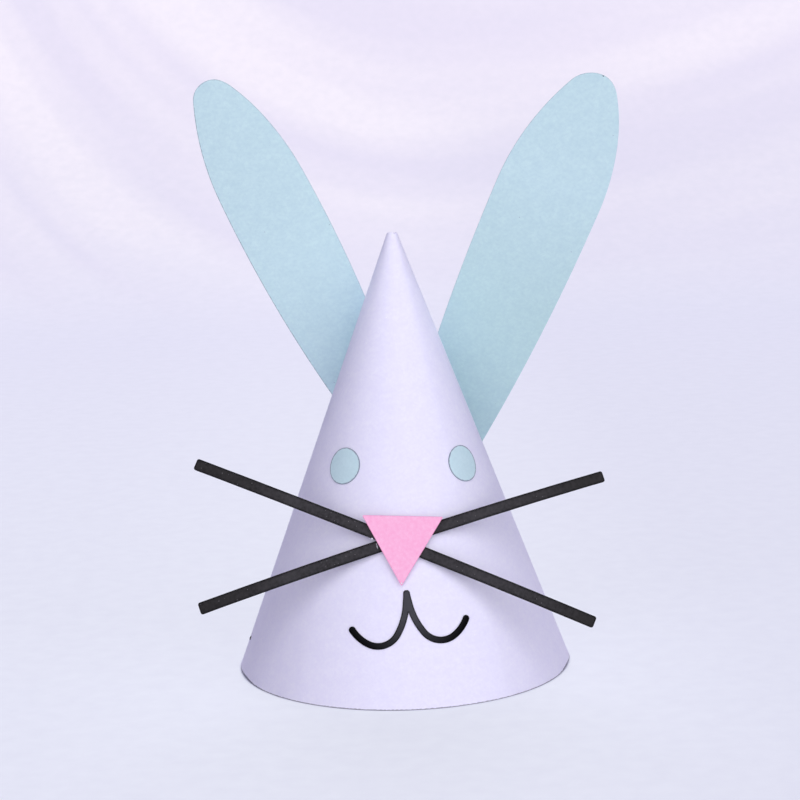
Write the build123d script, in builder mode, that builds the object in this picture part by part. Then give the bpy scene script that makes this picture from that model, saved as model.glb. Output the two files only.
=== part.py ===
from build123d import *
from math import atan2, cos, degrees, radians, sin
import os

# A paper party hat made up as a rabbit: a cone of card rolled from one sheet, with
# ears, whiskers, nose, eyes and mouth of coloured paper glued to it.
# Millimetres. The axis of the cone is Z, the rim lies on the XY plane, and the face
# looks towards -Y. Left and right are those of someone who looks at the face.

# The cone of card
rim_radius = 60.0
cone_height = 161.8
cone_card = 0.3
tip_radius = 1.65
cord_hole_diameter = 2.0
cord_hole_rise = 13.0

# The lapped seam at the back, as an angle from the middle of the back and widths at the rim
seam_angle = 14.0
lap_width = 14.0
lap_ramp_width = 5.0

# What each glued piece stands off the face that carries it
glue_film = 0.15

# The ears, two leaves that cross in a V on the back of the cone
ear_card = 0.3
ear_plane_angle = -4.0
ear_crossing_shift = -6.3
ear_crossing_rise = 56.6
ear_lean_angle = 21.7
ear_foot_corner = 1.5
left_ear_reach = 183.5
left_ear_tail = 4.5
left_ear_tip_radius = 8.2
left_ear_tip_angle = 67.6
left_ear_flank_radius = 112.8
left_ear_flank_angle = 20.1
left_ear_foot_width = 5.2
right_ear_reach = 181.9
right_ear_tail = 8.0
right_ear_tip_radius = 9.8
right_ear_tip_angle = 63.6
right_ear_flank_radius = 99.6
right_ear_flank_angle = 25.9
right_ear_foot_width = 18.7

# The whiskers, two straight strips that cross on the front of the cone
whisker_card = 0.4
whisker_width = 4.15
rising_angle = 15.9
rising_rise = 59.4
rising_bow_radius = 223.0
rising_left_reach = 76.8
rising_right_reach = 75.3
falling_angle = 24.2
falling_rise = 56.4
falling_bow_radius = 505.0
falling_left_reach = 79.2
falling_right_reach = 70.5

# The nose, a triangle of card with its point down
nose_card = 0.3
nose_side = 28.1
nose_corner = 0.3
nose_shift = -1.4
nose_rise = 58.7
nose_angle = -3.5

# The eyes, two round pieces of paper
eye_paper = 0.15
eye_diameter = 13.0
left_eye_angle = -40.7
left_eye_rise = 83.6
right_eye_angle = 43.4
right_eye_rise = 82.7

# The mouth, one line that curls up at both ends
mouth_paper = 0.15
mouth_line = 2.3
mouth_shift = -0.74
mouth_rise = 40.1
mouth_angle = 3.4
mouth_peak_half = 0.27
mouth_stem_radius = 24.4
mouth_stem_angle = 34.7
mouth_curl_radius = 7.5
mouth_curl_angle = 88.0
mouth_end_radius = 13.8
mouth_end_angle = 31.5

# Worked out: the half angle at the cone's tip, and the height where the tip is cut off
half_angle = atan2(rim_radius, cone_height)
tip_height = cone_height * (1 - tip_radius / rim_radius)
front = -90.0
back = 90.0


def radius_at(height, lift=0.0):
    """Radius at a height of the cone's outer face, moved outwards by a lift."""
    return rim_radius * (1 - height / cone_height) + lift / cos(half_angle)


def touching(azimuth):
    """Plane on the cone along one line of its slope: Y up that line, Z outwards, its
    origin where the line meets the rim."""
    turn = radians(azimuth)
    across = (-sin(turn), cos(turn), 0)
    outwards = (cos(turn) * cos(half_angle), sin(turn) * cos(half_angle), sin(half_angle))
    rim_point = (rim_radius * cos(turn), rim_radius * sin(turn), 0)
    return Plane(origin=rim_point, x_dir=across, z_dir=outwards)


def placed(plane, along, up, turn=0.0):
    """The same plane, moved within itself and turned about its normal."""
    return Plane(plane.location * Location((along, up, 0), (0, 0, turn)))


def layer_section(lift, thickness):
    """Section of a layer of paper that lies on the cone from the rim to the tip."""
    with BuildSketch(Plane.XZ) as section:
        with BuildLine():
            Polyline(
                (radius_at(0, lift), 0),
                (radius_at(0, lift + thickness), 0),
                (radius_at(tip_height, lift + thickness), tip_height),
                (radius_at(tip_height, lift), tip_height),
                close=True,
            )
        make_face()
    return section.sketch


def wrapped(outline, thickness):
    """The outline, pressed from the front of its own plane onto the cone, as a layer of paper."""
    outwards = outline.faces()[0].normal_at()
    azimuth = degrees(atan2(outwards.Y, outwards.X))
    with BuildPart() as layer:
        first_side = layer_section(glue_film, thickness).rotate(Axis.Z, azimuth - 90)
        revolve(first_side, axis=Axis.Z, revolution_arc=180)
        extrude(outline, amount=rim_radius, both=True, mode=Mode.INTERSECT)
    return layer.part


def lap_section(height):
    """Section of the lap at a height: the outer sheet over the inner one, with its free
    edge towards the middle of the back, and a ramp where it comes down beyond the tab."""
    free_edge = back + seam_angle
    lap_sweep = degrees(lap_width / rim_radius)
    ramp_sweep = degrees(lap_ramp_width / rim_radius)
    inner_radius = radius_at(height, -cone_card / 2)
    outer_radius = radius_at(height, cone_card)
    with BuildSketch(Plane.XY.offset(height)) as section:
        with BuildLine():
            under = CenterArc((0, 0), inner_radius, free_edge, lap_sweep + ramp_sweep)
            over = CenterArc((0, 0), outer_radius, free_edge, lap_sweep)
            Line(under @ 0, over @ 0)
            Line(over @ 1, under @ 1)
        make_face()
    return section.sketch


os.makedirs("parts", exist_ok=True)

# Cone: one sheet rolled round, lapped at the back, open at the rim and at the cut tip
with BuildPart() as hat_cone:
    revolve(layer_section(-cone_card, cone_card), axis=Axis.Z)
    loft([lap_section(0), lap_section(tip_height)], ruled=True)
    with BuildSketch(Plane.YZ):
        with Locations((0, cord_hole_rise)):
            Circle(cord_hole_diameter / 2)
    extrude(amount=2 * rim_radius, both=True, mode=Mode.SUBTRACT)
hat_cone.part.label = "hat_cone"
export_step(hat_cone.part, "parts/hat_cone.step")

# Ears: the right one lies on the cone and the left one behind it, in parallel planes
back_plane = touching(back + ear_plane_angle)
right_ear_lift = glue_film
left_ear_lift = right_ear_lift + ear_card + glue_film

for side, sign, lift, reach, tail, tip_arc, flank_arc, foot_width in (
    ("left", 1, left_ear_lift, left_ear_reach, left_ear_tail,
     (left_ear_tip_radius, left_ear_tip_angle),
     (left_ear_flank_radius, left_ear_flank_angle), left_ear_foot_width),
    ("right", -1, right_ear_lift, right_ear_reach, right_ear_tail,
     (right_ear_tip_radius, right_ear_tip_angle),
     (right_ear_flank_radius, right_ear_flank_angle), right_ear_foot_width),
):
    crossing = placed(back_plane, ear_crossing_shift, ear_crossing_rise, -sign * ear_lean_angle)
    with BuildPart() as ear:
        with BuildSketch(placed(crossing, 0, reach).offset(lift)):
            with BuildLine():
                tip = JernArc((0, 0), (-1, 0), tip_arc[0], tip_arc[1])
                flank = JernArc(tip @ 1, tip % 1, flank_arc[0], flank_arc[1])
                foot_edge = (-foot_width / 2, -reach - tail)
                TangentArc(flank @ 1, foot_edge, tangent=flank % 1)
                Line(foot_edge, (0, -reach - tail))
                mirror(about=Plane.YZ)
            make_face()
            fillet(vertices().group_by(Axis.Y)[0], ear_foot_corner)
        extrude(amount=ear_card)
    ear.part.label = f"ear_{side}"
    export_step(ear.part, f"parts/ear_{side}.step")

# Whiskers: each strip touches the front of the cone and bows back towards its ends
front_plane = touching(front)
rising_lift = glue_film
falling_lift = rising_lift + whisker_card + glue_film

for name, slope, rise, lift, bow_radius, left_reach, right_reach in (
    ("rising", rising_angle, rising_rise, rising_lift,
     rising_bow_radius, rising_left_reach, rising_right_reach),
    ("falling", -falling_angle, falling_rise, falling_lift,
     falling_bow_radius, falling_left_reach, falling_right_reach),
):
    strip_plane = placed(front_plane, 0, rise, slope)
    edge_plane = Plane(origin=strip_plane.origin, x_dir=strip_plane.x_dir, z_dir=-strip_plane.y_dir)
    bow_centre = (0, lift - bow_radius)
    right_sweep = degrees(right_reach / bow_radius)
    sweep = right_sweep + degrees(left_reach / bow_radius)
    with BuildPart() as whisker:
        with BuildSketch(edge_plane):
            with BuildLine():
                under = CenterArc(bow_centre, bow_radius, 90 - right_sweep, sweep)
                over = CenterArc(bow_centre, bow_radius + whisker_card, 90 - right_sweep, sweep)
                Line(under @ 0, over @ 0)
                Line(under @ 1, over @ 1)
            make_face()
        extrude(amount=whisker_width / 2, both=True)
    whisker.part.label = f"whisker_{name}"
    export_step(whisker.part, f"parts/whisker_{name}.step")

# Nose: flat, glued over the place where the whiskers cross
nose_lift = falling_lift + whisker_card + glue_film
with BuildPart() as nose:
    with BuildSketch(placed(front_plane.offset(nose_lift), nose_shift, nose_rise, nose_angle)):
        RegularPolygon(nose_side / 3**0.5, side_count=3, rotation=-90)
        fillet(vertices(), nose_corner)
    extrude(amount=nose_card)
nose.part.label = "nose"
export_step(nose.part, "parts/nose.step")

# Eyes: discs wrapped on the cone
for side, turn, rise in (
    ("left", left_eye_angle, left_eye_rise),
    ("right", right_eye_angle, right_eye_rise),
):
    with BuildSketch(placed(touching(front + turn), 0, rise)) as disc:
        Circle(eye_diameter / 2)
    with BuildPart() as eye:
        add(wrapped(disc.sketch, eye_paper))
    eye.part.label = f"eye_{side}"
    export_step(eye.part, f"parts/eye_{side}.step")

# Mouth: a round-ended line, wrapped on the cone
with BuildSketch(placed(front_plane, mouth_shift, mouth_rise, mouth_angle)) as line_outline:
    with BuildLine():
        stem = JernArc((-mouth_peak_half, 0), (0, -1), mouth_stem_radius, -mouth_stem_angle)
        curl = JernArc(stem @ 1, stem % 1, mouth_curl_radius, -mouth_curl_angle)
        end = JernArc(curl @ 1, curl % 1, mouth_end_radius, -mouth_end_angle)
    trace(line_width=mouth_line)
    with Locations(stem @ 0, end @ 1):
        Circle(mouth_line / 2)
    mirror(about=Plane.YZ)
with BuildPart() as mouth:
    add(wrapped(line_outline.sketch, mouth_paper))
mouth.part.label = "mouth"
export_step(mouth.part, "parts/mouth.step")
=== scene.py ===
"""A rabbit-faced paper party hat, as sheets of coloured card that are cut flat, rolled, bent and glued.

Every piece is made the way the real one is: a flat blank, meshed on a grid, is laid in its place in
space by a rule for its bend, and gets the thickness of its card. Metres, Z up, the face towards -Y.
"""
import logging
import math
from dataclasses import dataclass, field, replace
from enum import Enum
from typing import Callable

import bpy
import numpy as np
from mathutils import Matrix, Vector
from numpy.typing import NDArray


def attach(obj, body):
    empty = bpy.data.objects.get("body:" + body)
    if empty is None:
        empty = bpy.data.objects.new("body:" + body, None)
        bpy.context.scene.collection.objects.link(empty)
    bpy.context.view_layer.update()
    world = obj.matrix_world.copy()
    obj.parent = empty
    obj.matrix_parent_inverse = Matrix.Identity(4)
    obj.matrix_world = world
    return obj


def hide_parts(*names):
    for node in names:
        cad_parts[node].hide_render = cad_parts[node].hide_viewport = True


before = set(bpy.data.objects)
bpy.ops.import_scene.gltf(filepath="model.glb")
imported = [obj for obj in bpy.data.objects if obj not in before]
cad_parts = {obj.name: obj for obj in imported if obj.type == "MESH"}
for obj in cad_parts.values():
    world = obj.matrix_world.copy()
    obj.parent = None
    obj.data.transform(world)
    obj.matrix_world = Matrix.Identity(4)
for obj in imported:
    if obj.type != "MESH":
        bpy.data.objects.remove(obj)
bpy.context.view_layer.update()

LOG = logging.getLogger("party_hat")
MM = 0.001
FRONT_DEG = -90.0
THIRD = 2 * math.pi / 3

Rgb = tuple[float, float, float]
FloatArray = NDArray[np.float64]
IntArray = NDArray[np.int64]
Placing = Callable[[FloatArray, float], FloatArray]
Socket = bpy.types.NodeSocket

# A range carried to another: where the first starts and ends, and what those become, 0 and 1 if not given
Span = tuple[float, ...]


class Side(Enum):
    """The two sides of the hat, for someone who looks at the face."""

    LEFT = -1
    RIGHT = 1


class Slot(Enum):
    """The record's material slots."""

    LILAC_CARD = "lilac_card"
    BLUE_CARD = "blue_card"
    BLACK_CARD = "black_card"
    PINK_CARD = "pink_card"
    BLUE_PAPER = "blue_paper"
    BLACK_PAPER = "black_paper"


# Flat blanks

@dataclass
class Blank:
    """A flat shape cut from a sheet and meshed.

    Attributes:
        points: The places on the sheet, in metres, x to the right and y up, seen from outside.
        quads: Four point numbers a face, anticlockwise.
        triangles: Three point numbers a face, anticlockwise.
    """

    points: FloatArray
    quads: IntArray
    triangles: IntArray = field(default_factory=lambda: np.zeros((0, 3), dtype=np.int64))

    def outline(self) -> IntArray:
        """The edges that only one face uses, each as it runs round that face.

        Returns:
            Two point numbers an edge, with the sheet on its left.
        """
        start = np.concatenate([self.quads.T.ravel(), self.triangles.T.ravel()])
        ahead = [np.roll(faces, -1, axis=1) for faces in (self.quads, self.triangles)]
        end = np.concatenate([faces.T.ravel() for faces in ahead])
        count = len(self.points)
        alone = ~np.isin(start * count + end, end * count + start)
        return np.stack([start[alone], end[alone]], axis=1)

    def edge_distance(self, block: int = 4096) -> FloatArray:
        """How far each point lies from the nearest point of the outline, in metres.

        Args:
            block: How many points are compared at a time.

        Returns:
            One distance a point.
        """
        rim = self.points[np.unique(self.outline())]
        parts = []
        for first in range(0, len(self.points), block):
            gap = self.points[first:first + block, None, :] - rim[None, :, :]
            parts.append(np.sqrt((gap ** 2).sum(axis=2).min(axis=1)))
        return np.concatenate(parts)

    def compacted(self) -> "Blank":
        """Leaves out the points that no face uses.

        Returns:
            The same blank without them.
        """
        used = np.unique(np.concatenate([self.quads.ravel(), self.triangles.ravel()]))
        renumber = np.zeros(len(self.points), dtype=np.int64)
        renumber[used] = np.arange(len(used))
        return Blank(self.points[used], renumber[self.quads], renumber[self.triangles])


def grid_quads(rows: int, columns: int) -> IntArray:
    """Quads of a grid whose rows run down the sheet and whose columns run to the right.

    Args:
        rows: How many rows of points there are.
        columns: How many points a row has.

    Returns:
        Four point numbers a quad, anticlockwise.
    """
    row, column = np.meshgrid(np.arange(rows - 1), np.arange(columns - 1), indexing="ij")
    corner = (row * columns + column).ravel()
    return np.stack([corner, corner + columns, corner + columns + 1, corner + 1], axis=1)


def star_blank(radius: FloatArray, angle: FloatArray, rings: int) -> Blank:
    """A shape whose outline is seen whole from its centre: a point at a share t of the way out and
    at an angle a lies at t times the outline's radius at a.

    Args:
        radius: The outline's distance from the centre, in metres, one for each angle.
        angle: The angles, in radians, rising, once round.
        rings: How many rings of points there are round the centre.

    Returns:
        The blank, with its centre at the origin.
    """
    spokes = len(angle)
    share = (np.arange(1, rings + 1) / rings)[:, None]
    ring_points = np.stack([share * radius * np.cos(angle), share * radius * np.sin(angle)], axis=2)
    points = np.vstack([[[0.0, 0.0]], ring_points.reshape(-1, 2)])
    spoke = np.arange(spokes)
    after = (spoke + 1) % spokes
    triangles = np.stack([np.zeros(spokes, dtype=np.int64), 1 + spoke, 1 + after], axis=1)
    inner = 1 + np.arange(rings - 1)[:, None] * spokes
    quads = np.stack([inner + spoke, inner + spokes + spoke, inner + spokes + after, inner + after], axis=2)
    return Blank(points, quads.reshape(-1, 4), triangles)


# Sheets in space

@dataclass(frozen=True)
class Sheet:
    """A blank laid in its place and given the thickness of its card.

    Attributes:
        name: The piece's name.
        blank: The flat shape.
        placing: The rule that lays a place of the blank, raised by a lift, in space.
        lift: How far the sheet's under face stands off the face that carries it, in metres.
        thickness: The thickness of the card, in metres.
        sharp_deg: The bend at which two faces meet at an edge and not in a curve.
    """

    name: str
    blank: Blank
    placing: Placing
    lift: float
    thickness: float
    sharp_deg: float = 35.0

    def mesh(self) -> bpy.types.Mesh:
        """The closed shell: the upper face, the same face again below it, and a wall along the
        whole outline. The faces' second material is the cut edge.

        Returns:
            The mesh, with the flat place and the distance from the cut edge at each point.
        """
        blank, count = self.blank, len(self.blank.points)
        upper = self.placing(blank.points, self.lift + self.thickness)
        under = self.placing(blank.points, self.lift)
        start, end = blank.outline().T
        walls = np.stack([end, start, start + count, end + count], axis=1)
        quads = np.vstack([blank.quads, blank.quads[:, ::-1] + count, walls])
        triangles = np.vstack([blank.triangles, blank.triangles[:, ::-1] + count])
        mesh = mesh_of(self.name, np.vstack([upper, under]), quads, triangles)

        is_wall = np.zeros(len(quads) + len(triangles), dtype=np.int32)
        is_wall[2 * len(blank.quads):len(quads)] = 1
        mesh.polygons.foreach_set("material_index", is_wall)
        flat = np.zeros((2 * count, 3))
        flat[:, :2] = np.tile(blank.points / MM, (2, 1))
        flat[count:, 2] = self.thickness / MM
        mesh.attributes.new("flat", "FLOAT_VECTOR", "POINT").data.foreach_set("vector", flat.ravel())
        distance = np.tile(blank.edge_distance() / MM, 2)
        mesh.attributes.new("edge", "FLOAT", "POINT").data.foreach_set("value", distance)
        mesh.shade_smooth()
        mesh.set_sharp_from_angle(angle=math.radians(self.sharp_deg))
        return mesh


def mesh_of(name: str, points: FloatArray, quads: IntArray, triangles: IntArray) -> bpy.types.Mesh:
    """A mesh from whole arrays of points and faces.

    Args:
        name: The mesh's name.
        points: Three coordinates a point, in metres.
        quads: Four point numbers a face.
        triangles: Three point numbers a face.

    Returns:
        The mesh.
    """
    mesh = bpy.data.meshes.new(name)
    corners = np.concatenate([quads.ravel(), triangles.ravel()]).astype(np.int32)
    sizes = np.concatenate([np.full(len(quads), 4), np.full(len(triangles), 3)])
    mesh.vertices.add(len(points))
    mesh.vertices.foreach_set("co", np.asarray(points, dtype=np.float32).ravel())
    mesh.loops.add(len(corners))
    mesh.loops.foreach_set("vertex_index", corners)
    mesh.polygons.add(len(sizes))
    mesh.polygons.foreach_set("loop_start", (np.cumsum(sizes) - sizes).astype(np.int32))
    mesh.update(calc_edges=True)
    mesh.validate()
    return mesh


# The cone and the planes that touch it

@dataclass(frozen=True)
class TouchingPlane:
    """A plane in space, with x across it, y up it and its normal outwards."""

    origin: FloatArray
    across: FloatArray
    up: FloatArray
    outwards: FloatArray

    def place(self, flat: FloatArray, lift: FloatArray | float) -> FloatArray:
        """Places of the plane in space, raised by one lift for all or by one each."""
        raised = np.broadcast_to(np.asarray(lift, dtype=float), (len(flat),))[:, None]
        return self.origin + flat[:, :1] * self.across + flat[:, 1:2] * self.up + raised * self.outwards


@dataclass(frozen=True)
class Cone:
    """The outer face of the rolled card.

    Attributes:
        rim_radius: Radius at the rim.
        height: Height at which the slopes would meet.
        card: Thickness of the card.
        tip_radius: Radius at which the tip is cut off.
        wave: How far the card wanders from a true cone at the rim.
        waves: The slow waves of that: their shares, how many go round the cone, and their phases.
    """

    rim_radius: float = 60.0 * MM
    height: float = 161.8 * MM
    card: float = 0.3 * MM
    tip_radius: float = 1.65 * MM
    wave: float = 0.12 * MM
    waves: tuple[tuple[float, int, float], ...] = ((0.5, 3, 0.6), (0.3, 5, 2.1), (0.2, 8, 0.0))

    @property
    def half_angle(self) -> float:
        """Half the angle at the tip, in radians."""
        return math.atan2(self.rim_radius, self.height)

    @property
    def slant(self) -> float:
        """Length of the slope from the tip that isn't there to the rim."""
        return math.hypot(self.rim_radius, self.height)

    def place(self, azimuth: FloatArray, down: FloatArray, lift: FloatArray | float) -> FloatArray:
        """A place on the cone: down the slope, out by the lift along the slope's normal, and round.
        To the lift comes the card's waviness: slow waves round the cone, which fade towards the tip
        with the square of the way down.

        Args:
            azimuth: Angle round the cone, in radians.
            down: Way down the slope from the tip.
            lift: Height over the cone's outer face.

        Returns:
            Three coordinates a place.
        """
        waves = sum(share * np.cos(count * azimuth + phase) for share, count, phase in self.waves)
        raised = lift + self.wave * (down / self.slant) ** 2 * waves
        out = down * math.sin(self.half_angle) + raised * math.cos(self.half_angle)
        up = self.height - down * math.cos(self.half_angle) + raised * math.sin(self.half_angle)
        return np.stack([out * np.cos(azimuth), out * np.sin(azimuth), up], axis=-1)

    def touching(self, azimuth_deg: float) -> TouchingPlane:
        """The plane on the cone along one line of its slope, with its origin where the line meets
        the rim.

        Args:
            azimuth_deg: Where that line is, in degrees round the cone from +X.

        Returns:
            The plane.
        """
        turn, half = math.radians(azimuth_deg), self.half_angle
        ahead, high = np.array([math.cos(turn), math.sin(turn), 0.0]), np.array([0.0, 0.0, 1.0])
        return TouchingPlane(
            origin=self.rim_radius * ahead,
            across=np.array([-math.sin(turn), math.cos(turn), 0.0]),
            up=math.cos(half) * high - math.sin(half) * ahead,
            outwards=math.cos(half) * ahead + math.sin(half) * high,
        )

    def pressed(self, plane: TouchingPlane, flat: FloatArray, lift: float) -> FloatArray:
        """Places of a touching plane, pressed along its normal onto the cone: each lies where the
        line through it along the normal meets the cone that is raised by the lift.

        Args:
            plane: The touching plane.
            flat: Two coordinates a place in the plane.
            lift: Height over the cone's outer face.

        Returns:
            Three coordinates a place.
        """
        start, line = plane.place(flat, 0.0), plane.outwards
        widening = math.tan(self.half_angle) ** 2
        below_tip = self.height + lift / math.sin(self.half_angle) - start[:, 2]
        a = line[0] ** 2 + line[1] ** 2 - widening * line[2] ** 2
        b = start[:, 0] * line[0] + start[:, 1] * line[1] + widening * below_tip * line[2]
        c = start[:, 0] ** 2 + start[:, 1] ** 2 - widening * below_tip ** 2
        met = start + ((np.sqrt(b ** 2 - a * c) - b) / a)[:, None] * line
        azimuth = np.arctan2(met[:, 1], met[:, 0])
        raised = lift * math.sin(self.half_angle)
        down = (self.height + raised - met[:, 2]) / math.cos(self.half_angle)
        return self.place(azimuth, down, lift)

    def pressing(self, azimuth_deg: float, angle_deg: float, along: float, up: float) -> Placing:
        """The rule that turns and moves a blank on the plane that touches the cone at an azimuth,
        and presses it onto the cone.

        Args:
            azimuth_deg: Where the plane touches.
            angle_deg: The turn.
            along: The move to the right.
            up: The move up the slope.

        Returns:
            The placing rule.
        """
        plane = self.touching(azimuth_deg)
        return lambda flat, lift: self.pressed(plane, turned(flat, angle_deg, along, up), lift)


def turned(flat: FloatArray, angle_deg: float, along: float = 0.0, up: float = 0.0) -> FloatArray:
    """Flat places turned anticlockwise about the origin and then moved.

    Args:
        flat: Two coordinates a place.
        angle_deg: The turn, in degrees.
        along: The move to the right.
        up: The move upwards.

    Returns:
        Two coordinates a place.
    """
    cosine, sine = math.cos(math.radians(angle_deg)), math.sin(math.radians(angle_deg))
    x, y = flat[:, 0], flat[:, 1]
    return np.stack([along + cosine * x - sine * y, up + sine * x + cosine * y], axis=1)


# Shader parts

def linear(colour: Rgb) -> tuple[float, ...]:
    """A screen colour, 0 to 255 a channel, as a shader's linear colour with an alpha of 1."""
    parts = [channel / 255 for channel in colour]
    return (*(part / 12.92 if part <= 0.04045 else ((part + 0.055) / 1.055) ** 2.4 for part in parts), 1.0)


class Graph:
    """Nodes and links of one material, node group or world."""

    def __init__(self, tree: bpy.types.NodeTree) -> None:
        """Starts with an empty tree."""
        self.tree = tree
        tree.nodes.clear()

    def put(self, target: Socket, value: object) -> None:
        """Gives an input its value.

        Args:
            target: The input.
            value: Another node's output, which is linked, or a value of its own.
        """
        if isinstance(value, Socket):
            self.tree.links.new(value, target)
        else:
            target.default_value = value

    def add(self, kind: str, *values: object, **settings: object) -> bpy.types.Node:
        """A new node.

        Args:
            kind: Blender's name for the node.
            values: What its first inputs get, in order.
            settings: The node's own settings, and its inputs by name with spaces as underscores.

        Returns:
            The node.
        """
        node = self.tree.nodes.new(kind)
        for key, value in settings.items():
            if hasattr(node, key):
                setattr(node, key, value)
            else:
                self.put(node.inputs[key.replace("_", " ")], value)
        for number, value in enumerate(values):
            self.put(node.inputs[number], value)
        return node

    def math(self, operation: str, first: object, second: object = 0.0) -> Socket:
        """A sum, product or other operation on two values, each a socket or a number."""
        return self.add("ShaderNodeMath", first, second, operation=operation).outputs[0]

    def span(self, value: Socket, low: float, high: float, to_low: float = 0.0,
             to_high: float = 1.0) -> Socket:
        """A value carried from one range to another and held at its ends."""
        return self.add("ShaderNodeMapRange", value, low, high, to_low, to_high, clamp=True).outputs["Result"]

    def mix(self, share: object, first: object, second: object, blend: str = "MIX") -> Socket:
        """Two colours mixed.

        Args:
            share: The share of the second, a socket or a number.
            first: A colour socket or a colour.
            second: A colour socket or a colour.
            blend: Blender's name for the way of mixing.

        Returns:
            The mixed colour.
        """
        node = self.add("ShaderNodeMix", data_type="RGBA", blend_type=blend)
        sockets = {socket.identifier: socket for socket in (*node.inputs, *node.outputs)}
        for name, value in (("Factor_Float", share), ("A_Color", first), ("B_Color", second)):
            self.put(sockets[name], value)
        return sockets["Result_Color"]

    def noise(self, place: Socket, scale: float, detail: float = 2.0) -> Socket:
        """Noise about 0.5 over a place, with so many features to the unit and so many finer layers."""
        return self.add("ShaderNodeTexNoise", place, Scale=scale, Detail=detail).outputs["Fac"]

    def vectors(self, operation: str, result: str, first: object, second: object = None) -> Socket:
        """An operation on one or two vectors, and which of its results is wanted."""
        values = [first] if second is None else [first, second]
        return self.add("ShaderNodeVectorMath", *values, operation=operation).outputs[result]

    def looked_at(self) -> Socket:
        """Tells what is looked at from what only throws light.

        Returns:
            A value of 1 where a surface is looked at, straight, in a reflection or through glass.
        """
        path = self.add("ShaderNodeLightPath").outputs
        straight = self.math("MAXIMUM", path["Is Camera Ray"], path["Is Glossy Ray"])
        return self.math("MAXIMUM", straight, path["Is Transmission Ray"])

    def surface(self, height: Socket, depth: float, **settings: object) -> None:
        """The material's surface.

        Args:
            height: The relief, 0 to 1.
            depth: How deep it is, in millimetres.
            settings: The general shader's inputs, by name.
        """
        bump = self.add("ShaderNodeBump", Strength=1.0, Distance=depth * MM, Height=height)
        shader = self.add("ShaderNodeBsdfPrincipled", Normal=bump.outputs["Normal"], **settings)
        self.add("ShaderNodeOutputMaterial", Surface=shader.outputs["BSDF"])


def new_material(name: str) -> tuple[bpy.types.Material, Graph]:
    """A material without nodes.

    Args:
        name: The material's name.

    Returns:
        The material and its graph.
    """
    material = bpy.data.materials.new(name)
    material.use_nodes = True
    return material, Graph(material.node_tree)


@dataclass(frozen=True)
class Pattern:
    """A noise over a sheet.

    Attributes:
        scale: How many features there are to the unit, which is a millimetre on the flat sheet.
        detail: How many finer layers are added.
        carried: How its values are spread out.
    """

    scale: float
    detail: float = 2.0
    carried: Span = (0.3, 0.7)

    def drawn(self, graph: Graph, place: Socket) -> Socket:
        """The pattern over a place, spread out."""
        return graph.span(graph.noise(place, self.scale, self.detail), *self.carried)


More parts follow.
